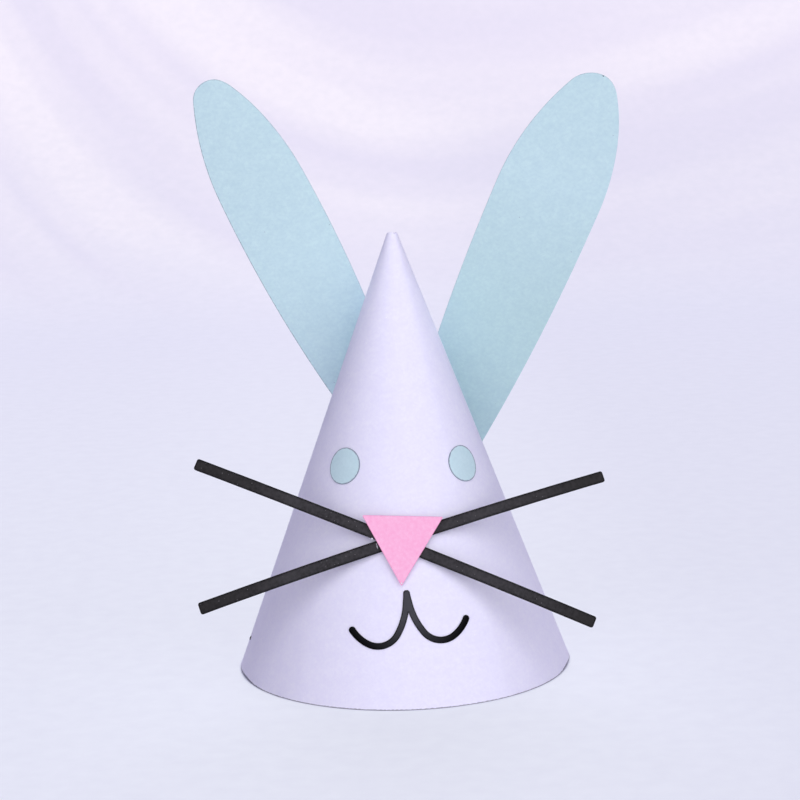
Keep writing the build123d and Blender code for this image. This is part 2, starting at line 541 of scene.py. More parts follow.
class PaperEffects:
    """The effects that all the cards share, each a node group that is built once."""

    patches = Pattern(0.055, 1.0, (0.35, 0.65))
    clouds = Pattern(0.22, 3.0)
    mottle = Pattern(0.75)
    fibres = Pattern(1.6, 3.0, (0.5, 0.8))
    fibre_turns_deg = (22.0, -48.0, 84.0)
    fibre_stretch = (5.0, 0.8, 1.0)
    tooth = Pattern(5.5, 4.0)
    tooth_in_relief = 0.4
    raggedness = Pattern(0.9, 3.0, (0.3, 0.7, 0.6, 1.4))
    line_fading = (0.2, 1.0, 1.0, 0.0)

    def __init__(self) -> None:
        """Builds the groups."""
        self.grain = self._grain()
        self.edge_shade_line = self._edge_shade_line()
        self.flecks = self._flecks()

    @staticmethod
    def _group(name: str, numbers: dict[str, float], results: tuple[str, ...]) -> Graph:
        """A node group that takes a place on the sheet, in millimetres.

        Args:
            name: The group's name.
            numbers: Its other inputs, with the values that they have when nothing is given.
            results: Its outputs.

        Returns:
            The group's graph, still empty.
        """
        tree = bpy.data.node_groups.new(name, "ShaderNodeTree")
        tree.interface.new_socket(name="Place", in_out="INPUT", socket_type="NodeSocketVector")
        for key, usual in numbers.items():
            taken = tree.interface.new_socket(name=key, in_out="INPUT", socket_type="NodeSocketFloat")
            taken.default_value = usual
        for key in results:
            tree.interface.new_socket(name=key, in_out="OUTPUT", socket_type="NodeSocketFloat")
        return Graph(tree)

    def _fibres(self, graph: Graph, place: Socket) -> Socket:
        """Fibres laid three ways: at each place the strongest of three noises, each stretched along
        its own direction of the sheet.

        Args:
            graph: The group's nodes.
            place: The place on the sheet.

        Returns:
            The fibres.
        """
        lays = []
        for turn_deg in self.fibre_turns_deg:
            lay = graph.add("ShaderNodeMapping", place, vector_type="TEXTURE", Scale=self.fibre_stretch,
                            Rotation=(0.0, 0.0, math.radians(turn_deg)))
            lays.append(graph.noise(lay.outputs["Vector"], self.fibres.scale, self.fibres.detail))
        return graph.math("MAXIMUM", graph.math("MAXIMUM", lays[0], lays[1]), lays[2])

    def _grain(self) -> bpy.types.NodeTree:
        """The formation of a sheet: slow patches, clouds of thicker pulp, mottle of a millimetre
        or so, fibres and fine tooth, each from 0 to 1, and the relief that they make.

        Returns:
            The group.
        """
        graph = self._group("paper_grain", {}, ("Patches", "Clouds", "Mottle", "Fibres", "Tooth", "Relief"))
        place = graph.add("NodeGroupInput").outputs["Place"]
        fibres = self._fibres(graph, place)
        tooth = graph.noise(place, self.tooth.scale, self.tooth.detail)
        graph.add(
            "NodeGroupOutput",
            Patches=self.patches.drawn(graph, place),
            Clouds=self.clouds.drawn(graph, place),
            Mottle=self.mottle.drawn(graph, place),
            Fibres=graph.span(fibres, *self.fibres.carried),
            Tooth=graph.span(tooth, *self.tooth.carried),
            Relief=graph.math("ADD", graph.math("MULTIPLY", fibres, 1 - self.tooth_in_relief),
                              graph.math("MULTIPLY", tooth, self.tooth_in_relief)),
        )
        return graph.tree

    def _edge_shade_line(self) -> bpy.types.NodeTree:
        """The painted shade along a cut edge, 1 at the edge and 0 further in than its width, which noise
        varies as a cut by hand does.

        Returns:
            The group.
        """
        graph = self._group("edge_shade_line", {"Distance": 1.0, "Width": 0.4}, ("Line",))
        given = graph.add("NodeGroupInput").outputs
        ragged = self.raggedness.drawn(graph, given["Place"])
        share = graph.math("DIVIDE", given["Distance"], graph.math("MULTIPLY", given["Width"], ragged))
        graph.add("NodeGroupOutput", Line=graph.span(share, *self.line_fading))
        return graph.tree

    def _flecks(self) -> bpy.types.NodeTree:
        """Specks in the pulp: a share of the cells of a random pattern have a dot at their centre,
        where the output is 1.

        Returns:
            The group.
        """
        graph = self._group("pulp_flecks", {"Spacing": 3.0, "Size": 0.1, "Share": 0.2}, ("Fleck",))
        given = graph.add("NodeGroupInput").outputs
        fineness = graph.math("DIVIDE", 1.0, given["Spacing"])
        cells = graph.add("ShaderNodeTexVoronoi", given["Place"], feature="F1", Scale=fineness).outputs
        radius = graph.math("DIVIDE", given["Size"], given["Spacing"])
        chance = graph.add("ShaderNodeSeparateColor", cells["Color"]).outputs["Red"]
        chosen = graph.math("LESS_THAN", chance, given["Share"])
        dot = graph.math("LESS_THAN", cells["Distance"], radius)
        graph.add("NodeGroupOutput", Fleck=graph.math("MULTIPLY", dot, chosen))
        return graph.tree


@dataclass(frozen=True)
class CardFinish:
    """One card or paper: its colour, its pulp, how it looks where it is cut, and the shade painted along its
    cut edges and towards its ends. Colours are those of a screen, 0 to 255 a channel, and lengths are in
    millimetres.

    Attributes:
        name: The material's name.
        colour: The sheet's colour.
        shade: The colour where the pulp is thicker or a fibre shows.
        shaded_cut_colour: The colour of the cut edge's wall, darker than the sheet: painted shade on the
            edge.
        edge_shade_colour: The colour of the thin dark line along the cut, which is painted edge shade, and
            along the cone's rim painted shadow under it.
        line_width: How wide that line is.
        line_strength: How much of the line's colour shows.
        light_side_bias: How much of that is missing on the right, seen from the front of the sheet, where the
            light falls on the edge and no shade is painted.
        bias_width: How far from the middle line the right is reached.
        line_from: How far from the middle of the flat sheet the line starts.
        patch_strength: How much slow changes over the sheet show.
        cloud_strength: How much the clouds in the pulp show.
        mottle_strength: How much the mottle shows.
        fibre_strength: How much the fibres show.
        fleck_colour: The colour of the specks in the pulp.
        fleck_spacing: How far apart the cells of the specks are.
        fleck_size: Radius of a speck.
        fleck_share: The share of the cells that have a speck.
        end_shade_colour: The colour far from the middle of the flat sheet, where it differs: painted shade on
            the whiskers' ends and the right ear's foot, and on the mouth the black of its ends beside its
            painted sheen.
        end_from: How far from the middle it starts.
        end_to: How far from the middle it is reached.
        speck: Place on the flat sheet and radius of one dark speck.
        speck_blur: How soft its edge is, as a share of the radius.
        roughness: The sheet's roughness.
        rough_range: How much the tooth changes that, up and down.
        gloss: The sheet's specular level.
        cut_shade: How much of the shade shows on the cut edge.
        cut_roughness: The cut edge's roughness, over the clouds.
        cut_gloss: Its specular level.
        sheen: The sheet's sheen, from loose fibres.
        relief: How deep the tooth is.
    """

    name: str
    colour: Rgb
    shade: Rgb
    shaded_cut_colour: Rgb
    edge_shade_colour: Rgb
    line_width: float = 0.35
    line_strength: float = 0.5
    light_side_bias: float = 0.0
    bias_width: float = 8.0
    line_from: float = 0.0
    patch_strength: float = 0.0
    cloud_strength: float = 0.35
    mottle_strength: float = 0.4
    fibre_strength: float = 0.4
    fleck_colour: Rgb = (255.0, 255.0, 255.0)
    fleck_spacing: float = 4.0
    fleck_size: float = 0.12
    fleck_share: float = 0.1
    end_shade_colour: Rgb | None = None
    end_from: float = 0.0
    end_to: float = 1.0
    speck: tuple[float, float, float] | None = None
    speck_blur: float = 0.3
    roughness: float = 0.82
    rough_range: float = 0.06
    gloss: float = 0.3
    cut_shade: float = 0.5
    cut_roughness: Span = (0.0, 1.0, 0.88, 0.98)
    cut_gloss: float = 0.2
    sheen: float = 0.05
    relief: float = 0.012

    def build(self, effects: PaperEffects) -> list[bpy.types.Material]:
        """The materials of the sheet's two faces and of its cut edge."""
        return [self.sheet(effects), self.cut(effects)]

    def start(self, name: str, effects: PaperEffects) -> tuple[bpy.types.Material, Graph, Socket, object]:
        """What both materials start with.

        Args:
            name: The material's name.
            effects: The shared effects.

        Returns:
            The material, its graph, the place on the flat sheet, and the grain's outputs.
        """
        material, graph = new_material(name)
        place = graph.add("ShaderNodeAttribute", attribute_name="flat").outputs["Vector"]
        grain = graph.add("ShaderNodeGroup", node_tree=effects.grain, Place=place)
        return material, graph, place, grain.outputs

    def sheet(self, effects: PaperEffects) -> bpy.types.Material:
        """The material of the sheet's two faces.

        Args:
            effects: The shared effects.

        Returns:
            The material.
        """
        material, graph, place, grain = self.start(self.name, effects)
        edge = graph.add("ShaderNodeAttribute", attribute_name="edge").outputs["Fac"]
        line = graph.add("ShaderNodeGroup", node_tree=effects.edge_shade_line, Place=place, Distance=edge,
                         Width=self.line_width).outputs["Line"]
        fleck = graph.add("ShaderNodeGroup", node_tree=effects.flecks, Place=place, Size=self.fleck_size,
                          Spacing=self.fleck_spacing, Share=self.fleck_share).outputs["Fleck"]
        plain, dark = linear(self.colour), linear(self.edge_shade_colour)
        colour: object = plain
        for mask, strength in (("Patches", self.patch_strength), ("Clouds", self.cloud_strength),
                               ("Mottle", self.mottle_strength), ("Fibres", self.fibre_strength)):
            if strength > 0:
                share = graph.math("MULTIPLY", grain[mask], strength)
                colour = graph.mix(share, colour, linear(self.shade))
        # Darker towards the ends of the flat sheet: painted shade on the whiskers' ends and the right ear's
        # foot, and the mouth's black ends beside its painted sheen.
        if self.end_shade_colour is not None:
            tint = tuple(end / start for end, start in zip(linear(self.end_shade_colour), plain))
            far_out = self.beyond(graph, place, self.end_from, self.end_to)
            colour = graph.mix(far_out, colour, tint, "MULTIPLY")
        colour = graph.mix(fleck, colour, linear(self.fleck_colour))
        if self.speck is not None:
            colour = graph.mix(self.speck_mask(graph, place), colour, dark)
        # The dark line along the cut edges is painted edge shade, and on the cone's rim painted shadow under
        # it.
        lined = graph.mix(self.edge_shade_share(graph, place, line), colour, dark)
        rough = graph.span(grain["Tooth"], 0.0, 1.0, self.roughness - self.rough_range,
                           self.roughness + self.rough_range)
        graph.surface(grain["Relief"], self.relief, Base_Color=lined, Roughness=rough,
                      Specular_IOR_Level=self.gloss, Sheen_Weight=self.sheen)
        return material

    def edge_shade_share(self, graph: Graph, place: Socket, line: Socket) -> Socket:
        """How much of the painted edge shade shows at a place: less to the right, where the light falls on
        the edge, and none near the middle of the flat sheet.

        Args:
            graph: The material's nodes.
            place: The place on the flat sheet.
            line: The line along the cut.

        Returns:
            The share.
        """
        share = graph.math("MULTIPLY", line, self.line_strength)
        if self.light_side_bias > 0:
            across = graph.add("ShaderNodeSeparateXYZ", place).outputs["X"]
            leftwards = graph.span(across, -self.bias_width, self.bias_width, 1 - self.light_side_bias, 1.0)
            share = graph.math("MULTIPLY", share, leftwards)
        if self.line_from > 0:
            share = graph.math("MULTIPLY", share, self.outermost(graph, place))
        return share

    def outermost(self, graph: Graph, place: Socket) -> Socket:
        """A value of 1 where the line is allowed and 0 nearer to the middle of the flat sheet."""
        return self.beyond(graph, place, self.line_from - self.line_width, self.line_from)

    @staticmethod
    def beyond(graph: Graph, place: Socket, start: float, end: float) -> Socket:
        """How far out on the flat sheet a place is: 0 up to the start, and 1 from the end."""
        return graph.span(graph.vectors("LENGTH", "Value", place), start, end)

    def speck_mask(self, graph: Graph, place: Socket) -> Socket:
        """Finds the one dark speck, on both faces of the sheet.

        Args:
            graph: The material's nodes.
            place: The place on the flat sheet.

        Returns:
            A value of 1 on the speck, and 0 elsewhere.
        """
        x, y, radius = self.speck
        flattened = graph.vectors("MULTIPLY", "Vector", place, (1.0, 1.0, 0.0))
        away = graph.vectors("DISTANCE", "Value", flattened, (x, y, 0.0))
        return graph.span(away, (1 - self.speck_blur) * radius, (1 + self.speck_blur) * radius, 1.0, 0.0)

    def cut(self, effects: PaperEffects) -> bpy.types.Material:
        """The material of the cut edge's wall, where the pulp is open, in a colour darker than the sheet:
        painted shade on the edge.

        Args:
            effects: The shared effects.

        Returns:
            The material.
        """
        material, graph, place, grain = self.start(f"{self.name}_cut", effects)
        shade = linear(self.shade)
        open_pulp = graph.math("MULTIPLY", grain["Tooth"], self.cut_shade)
        colour = graph.mix(open_pulp, linear(self.shaded_cut_colour), shade)
        # On the lilac card the dark wall is kept only along the rim, as painted shadow under it, and
        # elsewhere takes the pulp's shade colour.
        if self.line_from > 0:
            colour = graph.mix(self.outermost(graph, place), shade, colour)
        graph.surface(grain["Tooth"], 2 * self.relief, Base_Color=colour, Specular_IOR_Level=self.cut_gloss,
                      Roughness=graph.span(grain["Clouds"], *self.cut_roughness))
        return material


# The dark line and the dark cut wall along the rim are painted shadow under the rim.
LILAC_CARD = CardFinish(
    "lilac_card", colour=(240, 238, 254), shade=(227, 223, 249), shaded_cut_colour=(150, 145, 162),
    edge_shade_colour=(84, 80, 92), line_width=0.36, line_strength=0.85, line_from=171.5,
)
# The dark cut walls and the dark line along the left edges are painted edge shade; the light from the right
# leaves the right edges without it.
BLUE_CARD = CardFinish(
    "blue_card", colour=(225, 254, 254), shade=(204, 236, 242), shaded_cut_colour=(150, 176, 190),
    edge_shade_colour=(96, 120, 134), line_width=0.3, line_strength=0.7, light_side_bias=0.9, mottle_strength=0.5,
    fleck_colour=(168, 196, 206), fleck_spacing=3.2, fleck_size=0.16, fleck_share=0.1,
)
# The right ear's card, shaded: darker from 45 to 100 mm below the tip, as painted shade of the cone on its
# foot, and with a fainter painted edge line.
BLUE_CARD_RIGHT_SHADED = replace(
    BLUE_CARD, name="blue_card_right_shaded", line_strength=0.12, end_shade_colour=(206, 237, 235), end_from=45.0,
    end_to=100.0, speck=(-0.98, -0.15, 0.3),
)
# The dark outline round the eyes is painted edge shade and contact shadow.
BLUE_PAPER = CardFinish(
    "blue_paper", colour=(207, 231, 238), shade=(191, 217, 226), shaded_cut_colour=(110, 120, 140),
    edge_shade_colour=(118, 124, 146), line_width=0.45, line_strength=0.9,
)
# The darker line along the nose's edges is painted edge shade.
PINK_CARD = CardFinish(
    "pink_card", colour=(255, 196, 227), shade=(249, 166, 209), shaded_cut_colour=(214, 120, 168),
    edge_shade_colour=(226, 140, 186), mottle_strength=0.7, fibre_strength=0.5,
)
# Darker towards both ends of the whiskers: painted shade where the strips bow back from the light.
BLACK_CARD = CardFinish(
    "black_card", colour=(22, 21, 23), shade=(69, 67, 70), shaded_cut_colour=(20, 20, 22),
    edge_shade_colour=(12, 12, 14), line_width=0.95, line_strength=0.85, patch_strength=0.35,
    cloud_strength=0.4, mottle_strength=0.6, fibre_strength=0.45, fleck_colour=(118, 116, 120),
    fleck_spacing=1.1, fleck_size=0.13, fleck_share=0.3, end_shade_colour=(15, 14, 15), end_from=42.0,
    end_to=66.0, roughness=0.92, gloss=0.2, sheen=0.0, relief=0.03,
)
# The grey middle of the mouth is a painted sheen; its ends and edges are black.
BLACK_PAPER = CardFinish(
    "black_paper", colour=(66, 66, 71), shade=(77, 77, 82), shaded_cut_colour=(8, 8, 9), edge_shade_colour=(8, 8, 9),
    line_width=0.5, line_strength=0.8, fleck_share=0.0, end_shade_colour=(2, 2, 3), end_from=9.0, end_to=23.0,
    roughness=0.9, gloss=0.05, sheen=0.0,
)


@dataclass(frozen=True)
class GlueFinish:
    """Dried clear glue, with small bubbles.

    Attributes:
        name: The material's name.
        colour: The glue's colour on a screen, 0 to 255 a channel.
        shade: Its colour between the bubbles.
        bubbles: How many bubbles there are to the metre.
        relief: How deep they are, in millimetres.
        shading: How the bubbles' noise becomes the share of the shade.
        roughness: How it becomes the roughness.
    """

    name: str
    colour: Rgb
    shade: Rgb
    bubbles: float = 4000.0
    relief: float = 0.02
    shading: Span = (0.35, 0.65)
    roughness: Span = (0.3, 0.7, 0.18, 0.34)

    def build(self, _effects: PaperEffects) -> list[bpy.types.Material]:
        """Makes the glue, milky and glossy and a little uneven.

        Args:
            _effects: The shared effects, which glue has no use for.

        Returns:
            The same material for the faces and for the edge.
        """
        material, graph = new_material(self.name)
        bubbles = graph.noise(graph.add("ShaderNodeTexCoord").outputs["Object"], self.bubbles)
        colour = graph.mix(graph.span(bubbles, *self.shading), linear(self.colour), linear(self.shade))
        graph.surface(bubbles, self.relief, Base_Color=colour,
                      Roughness=graph.span(bubbles, *self.roughness))
        return [material, material]


DRIED_GLUE = GlueFinish("dried_glue", colour=(246, 245, 250), shade=(226, 223, 236))
THIN_GLUE = GlueFinish("thin_glue", colour=(186, 185, 192), shade=(112, 111, 118))
# Not glue but the dark colour of the bump that stands for the shade inside the left cord hole: painted shade.
HOLE_SHADE_SPECK = GlueFinish("hole_shade_speck", colour=(20, 19, 21), shade=(40, 38, 42))
Finish = CardFinish | GlueFinish


class Workshop:
    """Makes the pieces' objects, dresses them and ties them to the frame."""

    def __init__(self) -> None:
        """Builds the shared effects and keeps the materials that are made."""
        self.effects = PaperEffects()
        self.made: dict[str, list[bpy.types.Material]] = {}

    def materials(self, finish: Finish) -> list[bpy.types.Material]:
        """Dresses a piece, with materials that are made once.

        Args:
            finish: The finish.

        Returns:
            Its materials for the faces and for the cut edge.
        """
        if finish.name not in self.made:
            self.made[finish.name] = finish.build(self.effects)
        return self.made[finish.name]

    def make(self, sheet: Sheet, finish: Finish, slot: Slot | None = None, node: str | None = None) -> None:
        """Makes the object of one sheet, dressed, riding on the hat and standing for its node.

        Args:
            sheet: The sheet.
            finish: Its card.
            slot: The record's slot of its finish; not used.
            node: The CAD node that it stands for.
        """
        mesh = sheet.mesh()
        piece = bpy.data.objects.new(mesh.name, mesh)
        bpy.context.scene.collection.objects.link(piece)
        for material in self.materials(finish):
            mesh.materials.append(material)
        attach(piece, "root")
        if node is not None:
            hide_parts(node)
        LOG.info("%s: %d points, %d faces, %s", piece.name, len(mesh.vertices), len(mesh.polygons),
                 ", ".join(material.name for material in mesh.materials))


# The hat

@dataclass
class HatCone:
    """The fan-shaped sheet, rolled once round and lapped at the back, with two holes for a cord.

    Attributes:
        cone: The cone that it makes.
        seam_azimuth_deg: Where the outer sheet's free edge is, round the cone from +X.
        lap_width: Width of the lap at the rim.
        ramp_width: Width at the rim of the stretch where the outer sheet comes down.
        tab_squeeze: How much further in the sheet's other end lies, as the tab under the lap.
        hole_diameter: Diameter of the two cord holes.
        hole_rise: Their height above the rim.
        hole_azimuths_deg: Where they are, round the cone from +X.
        hole_reach: How many quads the window in which a hole is meshed reaches each way.
        hole_rings: How many rings of quads there are between that window and the hole.
        snip_slant: How much further down the tip is cut off at the back than at the front.
        nick: A small nick in the tip: where it is round the cone from +X and its width as a turn,
            both in degrees, and how deep it is.
        short_stretches: Where the rim was cut a little short, so that it stands off the table, in
            the same terms.
        fading: How fast the rows' bend along a cut end dies out over the sheet, as a power.
        rows: How many rows of points there are from the tip to the rim.
        columns: How many points there are round the cone.
    """

    cone: Cone
    seam_azimuth_deg: float = 104.0
    lap_width: float = 14.0 * MM
    ramp_width: float = 5.0 * MM
    tab_squeeze: float = 0.04 * MM
    hole_diameter: float = 2.0 * MM
    hole_rise: float = 13.0 * MM
    hole_azimuths_deg: tuple[float, float] = (180.0, 0.0)
    hole_reach: int = 3
    hole_rings: int = 3
    snip_slant: float = 0.75 * MM
    nick: tuple[float, float, float] = (-70.0, 11.0, 0.6 * MM)
    short_stretches: tuple[tuple[float, float, float], ...] = (
        (193.0, 11.0, 0.8 * MM), (345.0, 9.0, 0.75 * MM))
    fading: int = 12
    rows: int = 110
    columns: int = 380

    @property
    def lap_turn(self) -> float:
        """The lap's angle round the cone, in radians."""
        return self.lap_width / self.cone.rim_radius

    @property
    def full_turn(self) -> float:
        """The whole sheet's angle round the cone, in radians."""
        return 2 * math.pi + self.lap_turn

    @property
    def first(self) -> float:
        """Way down the slope where the card starts, before the snip."""
        return self.cone.tip_radius / math.sin(self.cone.half_angle)

    @property
    def last(self) -> float:
        """Way down the slope where it ends, a little short, so that the inner face meets the table."""
        return self.cone.slant - self.cone.card * math.tan(self.cone.half_angle)

    def fan(self, turn: FloatArray, down: FloatArray) -> FloatArray:
        """Places on the flat fan: the turn round the cone becomes a turn about the fan's centre
        that is smaller by the sine of the half angle, and the way down stays as it is.

        Args:
            turn: Angle round the cone from the free edge, in radians.
            down: Way down the slope.

        Returns:
            Two coordinates a place.
        """
        swept = (turn - self.full_turn / 2) * math.sin(self.cone.half_angle)
        return np.stack([down * np.sin(swept), -down * np.cos(swept)], axis=-1)

    def bell(self, turn: FloatArray, azimuth_deg: float, width_deg: float, depth: float) -> FloatArray:
        """What the scissors took off round one place: a bell over the turn.

        Args:
            turn: Angle round the cone from the free edge, in radians.
            azimuth_deg: The middle of the bell, round the cone from +X.
            width_deg: Its width, as a turn.
            depth: How much is gone at its middle.

        Returns:
            The ways along the slope.
        """
        from_middle = turn - math.radians((azimuth_deg - self.seam_azimuth_deg) % 360)
        return depth * np.exp(-(from_middle / math.radians(width_deg)) ** 2)

    def blank(self) -> Blank:
        """The fan, with its two holes punched. At the tip the cut slants down towards the back by
        a cosine and has its nick, and at the rim it has its short stretches.

        Returns:
            The blank.
        """
        share, turn = np.meshgrid(np.linspace(0.0, 1.0, self.rows),
                                  np.linspace(0.0, self.full_turn, self.columns), indexing="ij")
        from_front = turn + math.radians(self.seam_azimuth_deg - FRONT_DEG)
        snipped = self.bell(turn, *self.nick) + self.snip_slant * (1 - np.cos(from_front)) / 2
        shortened = sum(self.bell(turn, *stretch) for stretch in self.short_stretches)
        down = self.first + (self.last - self.first) * share + snipped * (1 - share) ** self.fading
        down -= shortened * share ** self.fading
        blank = Blank(self.fan(turn, down).reshape(-1, 2), grid_quads(self.rows, self.columns))
        for azimuth_deg in self.hole_azimuths_deg:
            self.punch(blank, math.radians(azimuth_deg - self.seam_azimuth_deg) % (2 * math.pi))
        return blank.compacted()

    def punch(self, blank: Blank, around: float) -> None:
        """Cuts a round hole: the quads of a window about it go, and rings of quads that turn from
        the window's outline into the circle take their place. Each new point lies a share of the
        way from the window's outline to the circle, on the line from the hole's centre.

        Args:
            blank: The blank, which is changed.
            around: Where the hole is, as a turn from the free edge, in radians.
        """
        below = (self.cone.height - self.hole_rise) / math.cos(self.cone.half_angle)
        row = round((below - self.first) / (self.last - self.first) * (self.rows - 1))
        column = round(around / self.full_turn * (self.columns - 1))
        reach, rings = self.hole_reach, self.hole_rings
        top, bottom, left, right = row - reach, row + reach, column - reach, column + reach
        quad_row, quad_column = np.divmod(blank.quads[:, 0], self.columns)
        inside = (quad_row >= top) & (quad_row < bottom) & (quad_column >= left) & (quad_column < right)
        inside &= blank.quads.max(axis=1) < self.rows * self.columns
        side = np.arange(2 * reach)
        window = np.concatenate([
            (top + side) * self.columns + left,
            bottom * self.columns + left + side,
            (bottom - side) * self.columns + right,
            top * self.columns + right - side,
        ])
        centre = self.fan(np.array([around]), np.array([below]))
        frame_points = blank.points[window]
        ray = frame_points - centre
        circle = centre + self.hole_diameter / 2 * ray / np.linalg.norm(ray, axis=1, keepdims=True)
        share = (np.arange(1, rings + 1) / rings)[:, None, None]
        added = frame_points + share * (circle - frame_points)
        outer = np.vstack([window, len(blank.points) + np.arange(rings * len(window)).reshape(rings, -1)])
        ahead = np.roll(outer, -1, axis=1)
        filling = np.stack([outer[:-1], ahead[:-1], ahead[1:], outer[1:]], axis=2).reshape(-1, 4)
        blank.points = np.vstack([blank.points, added.reshape(-1, 2)])
        blank.quads = np.vstack([blank.quads[~inside], filling])

    def rolled(self, flat: FloatArray, lift: float) -> FloatArray:
        """The fan rolled up: the outer lap lies one card higher, comes down along a smooth ramp
        beyond the tab, and the sheet's other end runs on under the lap as the tab.

        Args:
            flat: Places on the fan.
            lift: Height over the sheet's under face.

        Returns:
            Three coordinates a place.
        """
        swept = np.arctan2(flat[:, 0], -flat[:, 1])
        turn = swept / math.sin(self.cone.half_angle) + self.full_turn / 2
        ramp = self.ramp_width / self.cone.rim_radius
        fallen = np.clip((turn - self.lap_turn) / ramp, 0.0, 1.0)
        under_lap = np.clip((turn - (2 * math.pi - ramp)) / ramp, 0.0, 1.0)
        level = -self.cone.card * fallen ** 2 * (3 - 2 * fallen)
        level -= self.tab_squeeze * under_lap ** 2 * (3 - 2 * under_lap)
        down = np.hypot(flat[:, 0], flat[:, 1])
        return self.cone.place(turn + math.radians(self.seam_azimuth_deg), down, lift + level)

    def build(self, workshop: Workshop) -> None:
        """Builds and dresses the cone."""
        sheet = Sheet("hat_cone_card", self.blank(), self.rolled, 0.0, self.cone.card)
        workshop.make(sheet, LILAC_CARD, Slot.LILAC_CARD, "hat_cone")


@dataclass(frozen=True)
class EarLeaf:
    """The outline of an ear: a tip arc, a flank arc, an arc down to the foot, and a straight foot.

    Attributes:
        side: Which ear it is.
        finish: Its card.
        under: How far it stands off the cone.
        reach: Length from the crossing of the ears to the tip.
        tail: Length from the crossing to the foot.
        tip_radius: Radius of the tip arc.
        tip_angle_deg: Turn of the tip arc.
        flank_radius: Radius of the flank arc.
        flank_angle_deg: Turn of the flank arc.
        foot_width: Width of the foot.
        camber: How far the middle stands out from the sides at the widest place.
        trim: How much more was cut off the tip on the right, seen from the front.
        trim_way: How far below the tip that is largest.
        foot_corner: Radius of the foot's corners.
    """

    side: Side
    finish: CardFinish
    under: float
    reach: float
    tail: float
    tip_radius: float
    tip_angle_deg: float
    flank_radius: float
    flank_angle_deg: float
    foot_width: float
    camber: float
    trim: float
    trim_way: float = 3.5 * MM
    foot_corner: float = 1.5 * MM

    @property
    def length(self) -> float:
        """Length of the leaf."""
        return self.reach + self.tail

    def half_width(self, along: FloatArray) -> FloatArray:
        """Half the leaf's width at a way along it from the tip. Each arc is the circle that
        leaves the arc before it without a corner, and the last one ends at the foot's corner.

        Args:
            along: Ways along the leaf from its tip.

        Returns:
            The half widths.
        """
        one, two = math.radians(self.tip_angle_deg), math.radians(self.tip_angle_deg + self.flank_angle_deg)
        tip_x, tip_y = self.tip_radius * math.sin(one), self.tip_radius * (1 - math.cos(one))
        flank_centre = (tip_x - self.flank_radius * math.sin(one), tip_y + self.flank_radius * math.cos(one))
        flank_x = flank_centre[0] + self.flank_radius * math.sin(two)
        flank_y = flank_centre[1] - self.flank_radius * math.cos(two)
        to_foot = np.array([self.foot_width / 2 - flank_x, self.length - flank_y])
        inwards = np.array([-math.sin(two), math.cos(two)])
        last_radius = (to_foot @ to_foot) / (2 * to_foot @ inwards)
        last_centre = (flank_x + last_radius * inwards[0], flank_y + last_radius * inwards[1])

        def arc(centre: tuple[float, float], radius: float) -> FloatArray:
            """The circle's right side."""
            return centre[0] + np.sqrt(np.maximum(radius ** 2 - (along - centre[1]) ** 2, 0.0))

        lower = np.where(along < flank_y, arc(flank_centre, self.flank_radius), arc(last_centre, last_radius))
        half = np.where(along < tip_y, arc((0.0, self.tip_radius), self.tip_radius), lower)
        into_corner = np.clip(along - (self.length - self.foot_corner), 0.0, self.foot_corner)
        return half - (self.foot_corner - np.sqrt(self.foot_corner ** 2 - into_corner ** 2))

    def blank(self, rows: int = 170, columns: int = 33) -> Blank:
        """The leaf with its tip at the origin and its foot below: rows are closer together at
        both ends, and the first row closes to one point at the tip. What was cut off on one side
        grows from nothing at the tip and dies out further down, as w times e to the 1 - w does.

        Args:
            rows: How many rows there are below the tip.
            columns: How many points a row has.

        Returns:
            The blank.
        """
        along = self.length * (1 - np.cos(np.pi * np.arange(1, rows + 1) / rows)) / 2
        across = np.sin(np.linspace(-math.pi / 2, math.pi / 2, columns))
        below = along / self.trim_way
        half = self.half_width(along)[:, None]
        trimmed = half - self.trim * (below * np.exp(1 - below))[:, None]
        x = np.where(across < 0, trimmed, half) * across
        y = -np.broadcast_to(along[:, None], x.shape)
        points = np.vstack([[[0.0, 0.0]], np.stack([x, y], axis=2).reshape(-1, 2)])
        column = np.arange(columns - 1)
        triangles = np.stack([np.zeros_like(column), 1 + column, 2 + column], axis=1)
        return Blank(points, grid_quads(rows, columns) + 1, triangles)


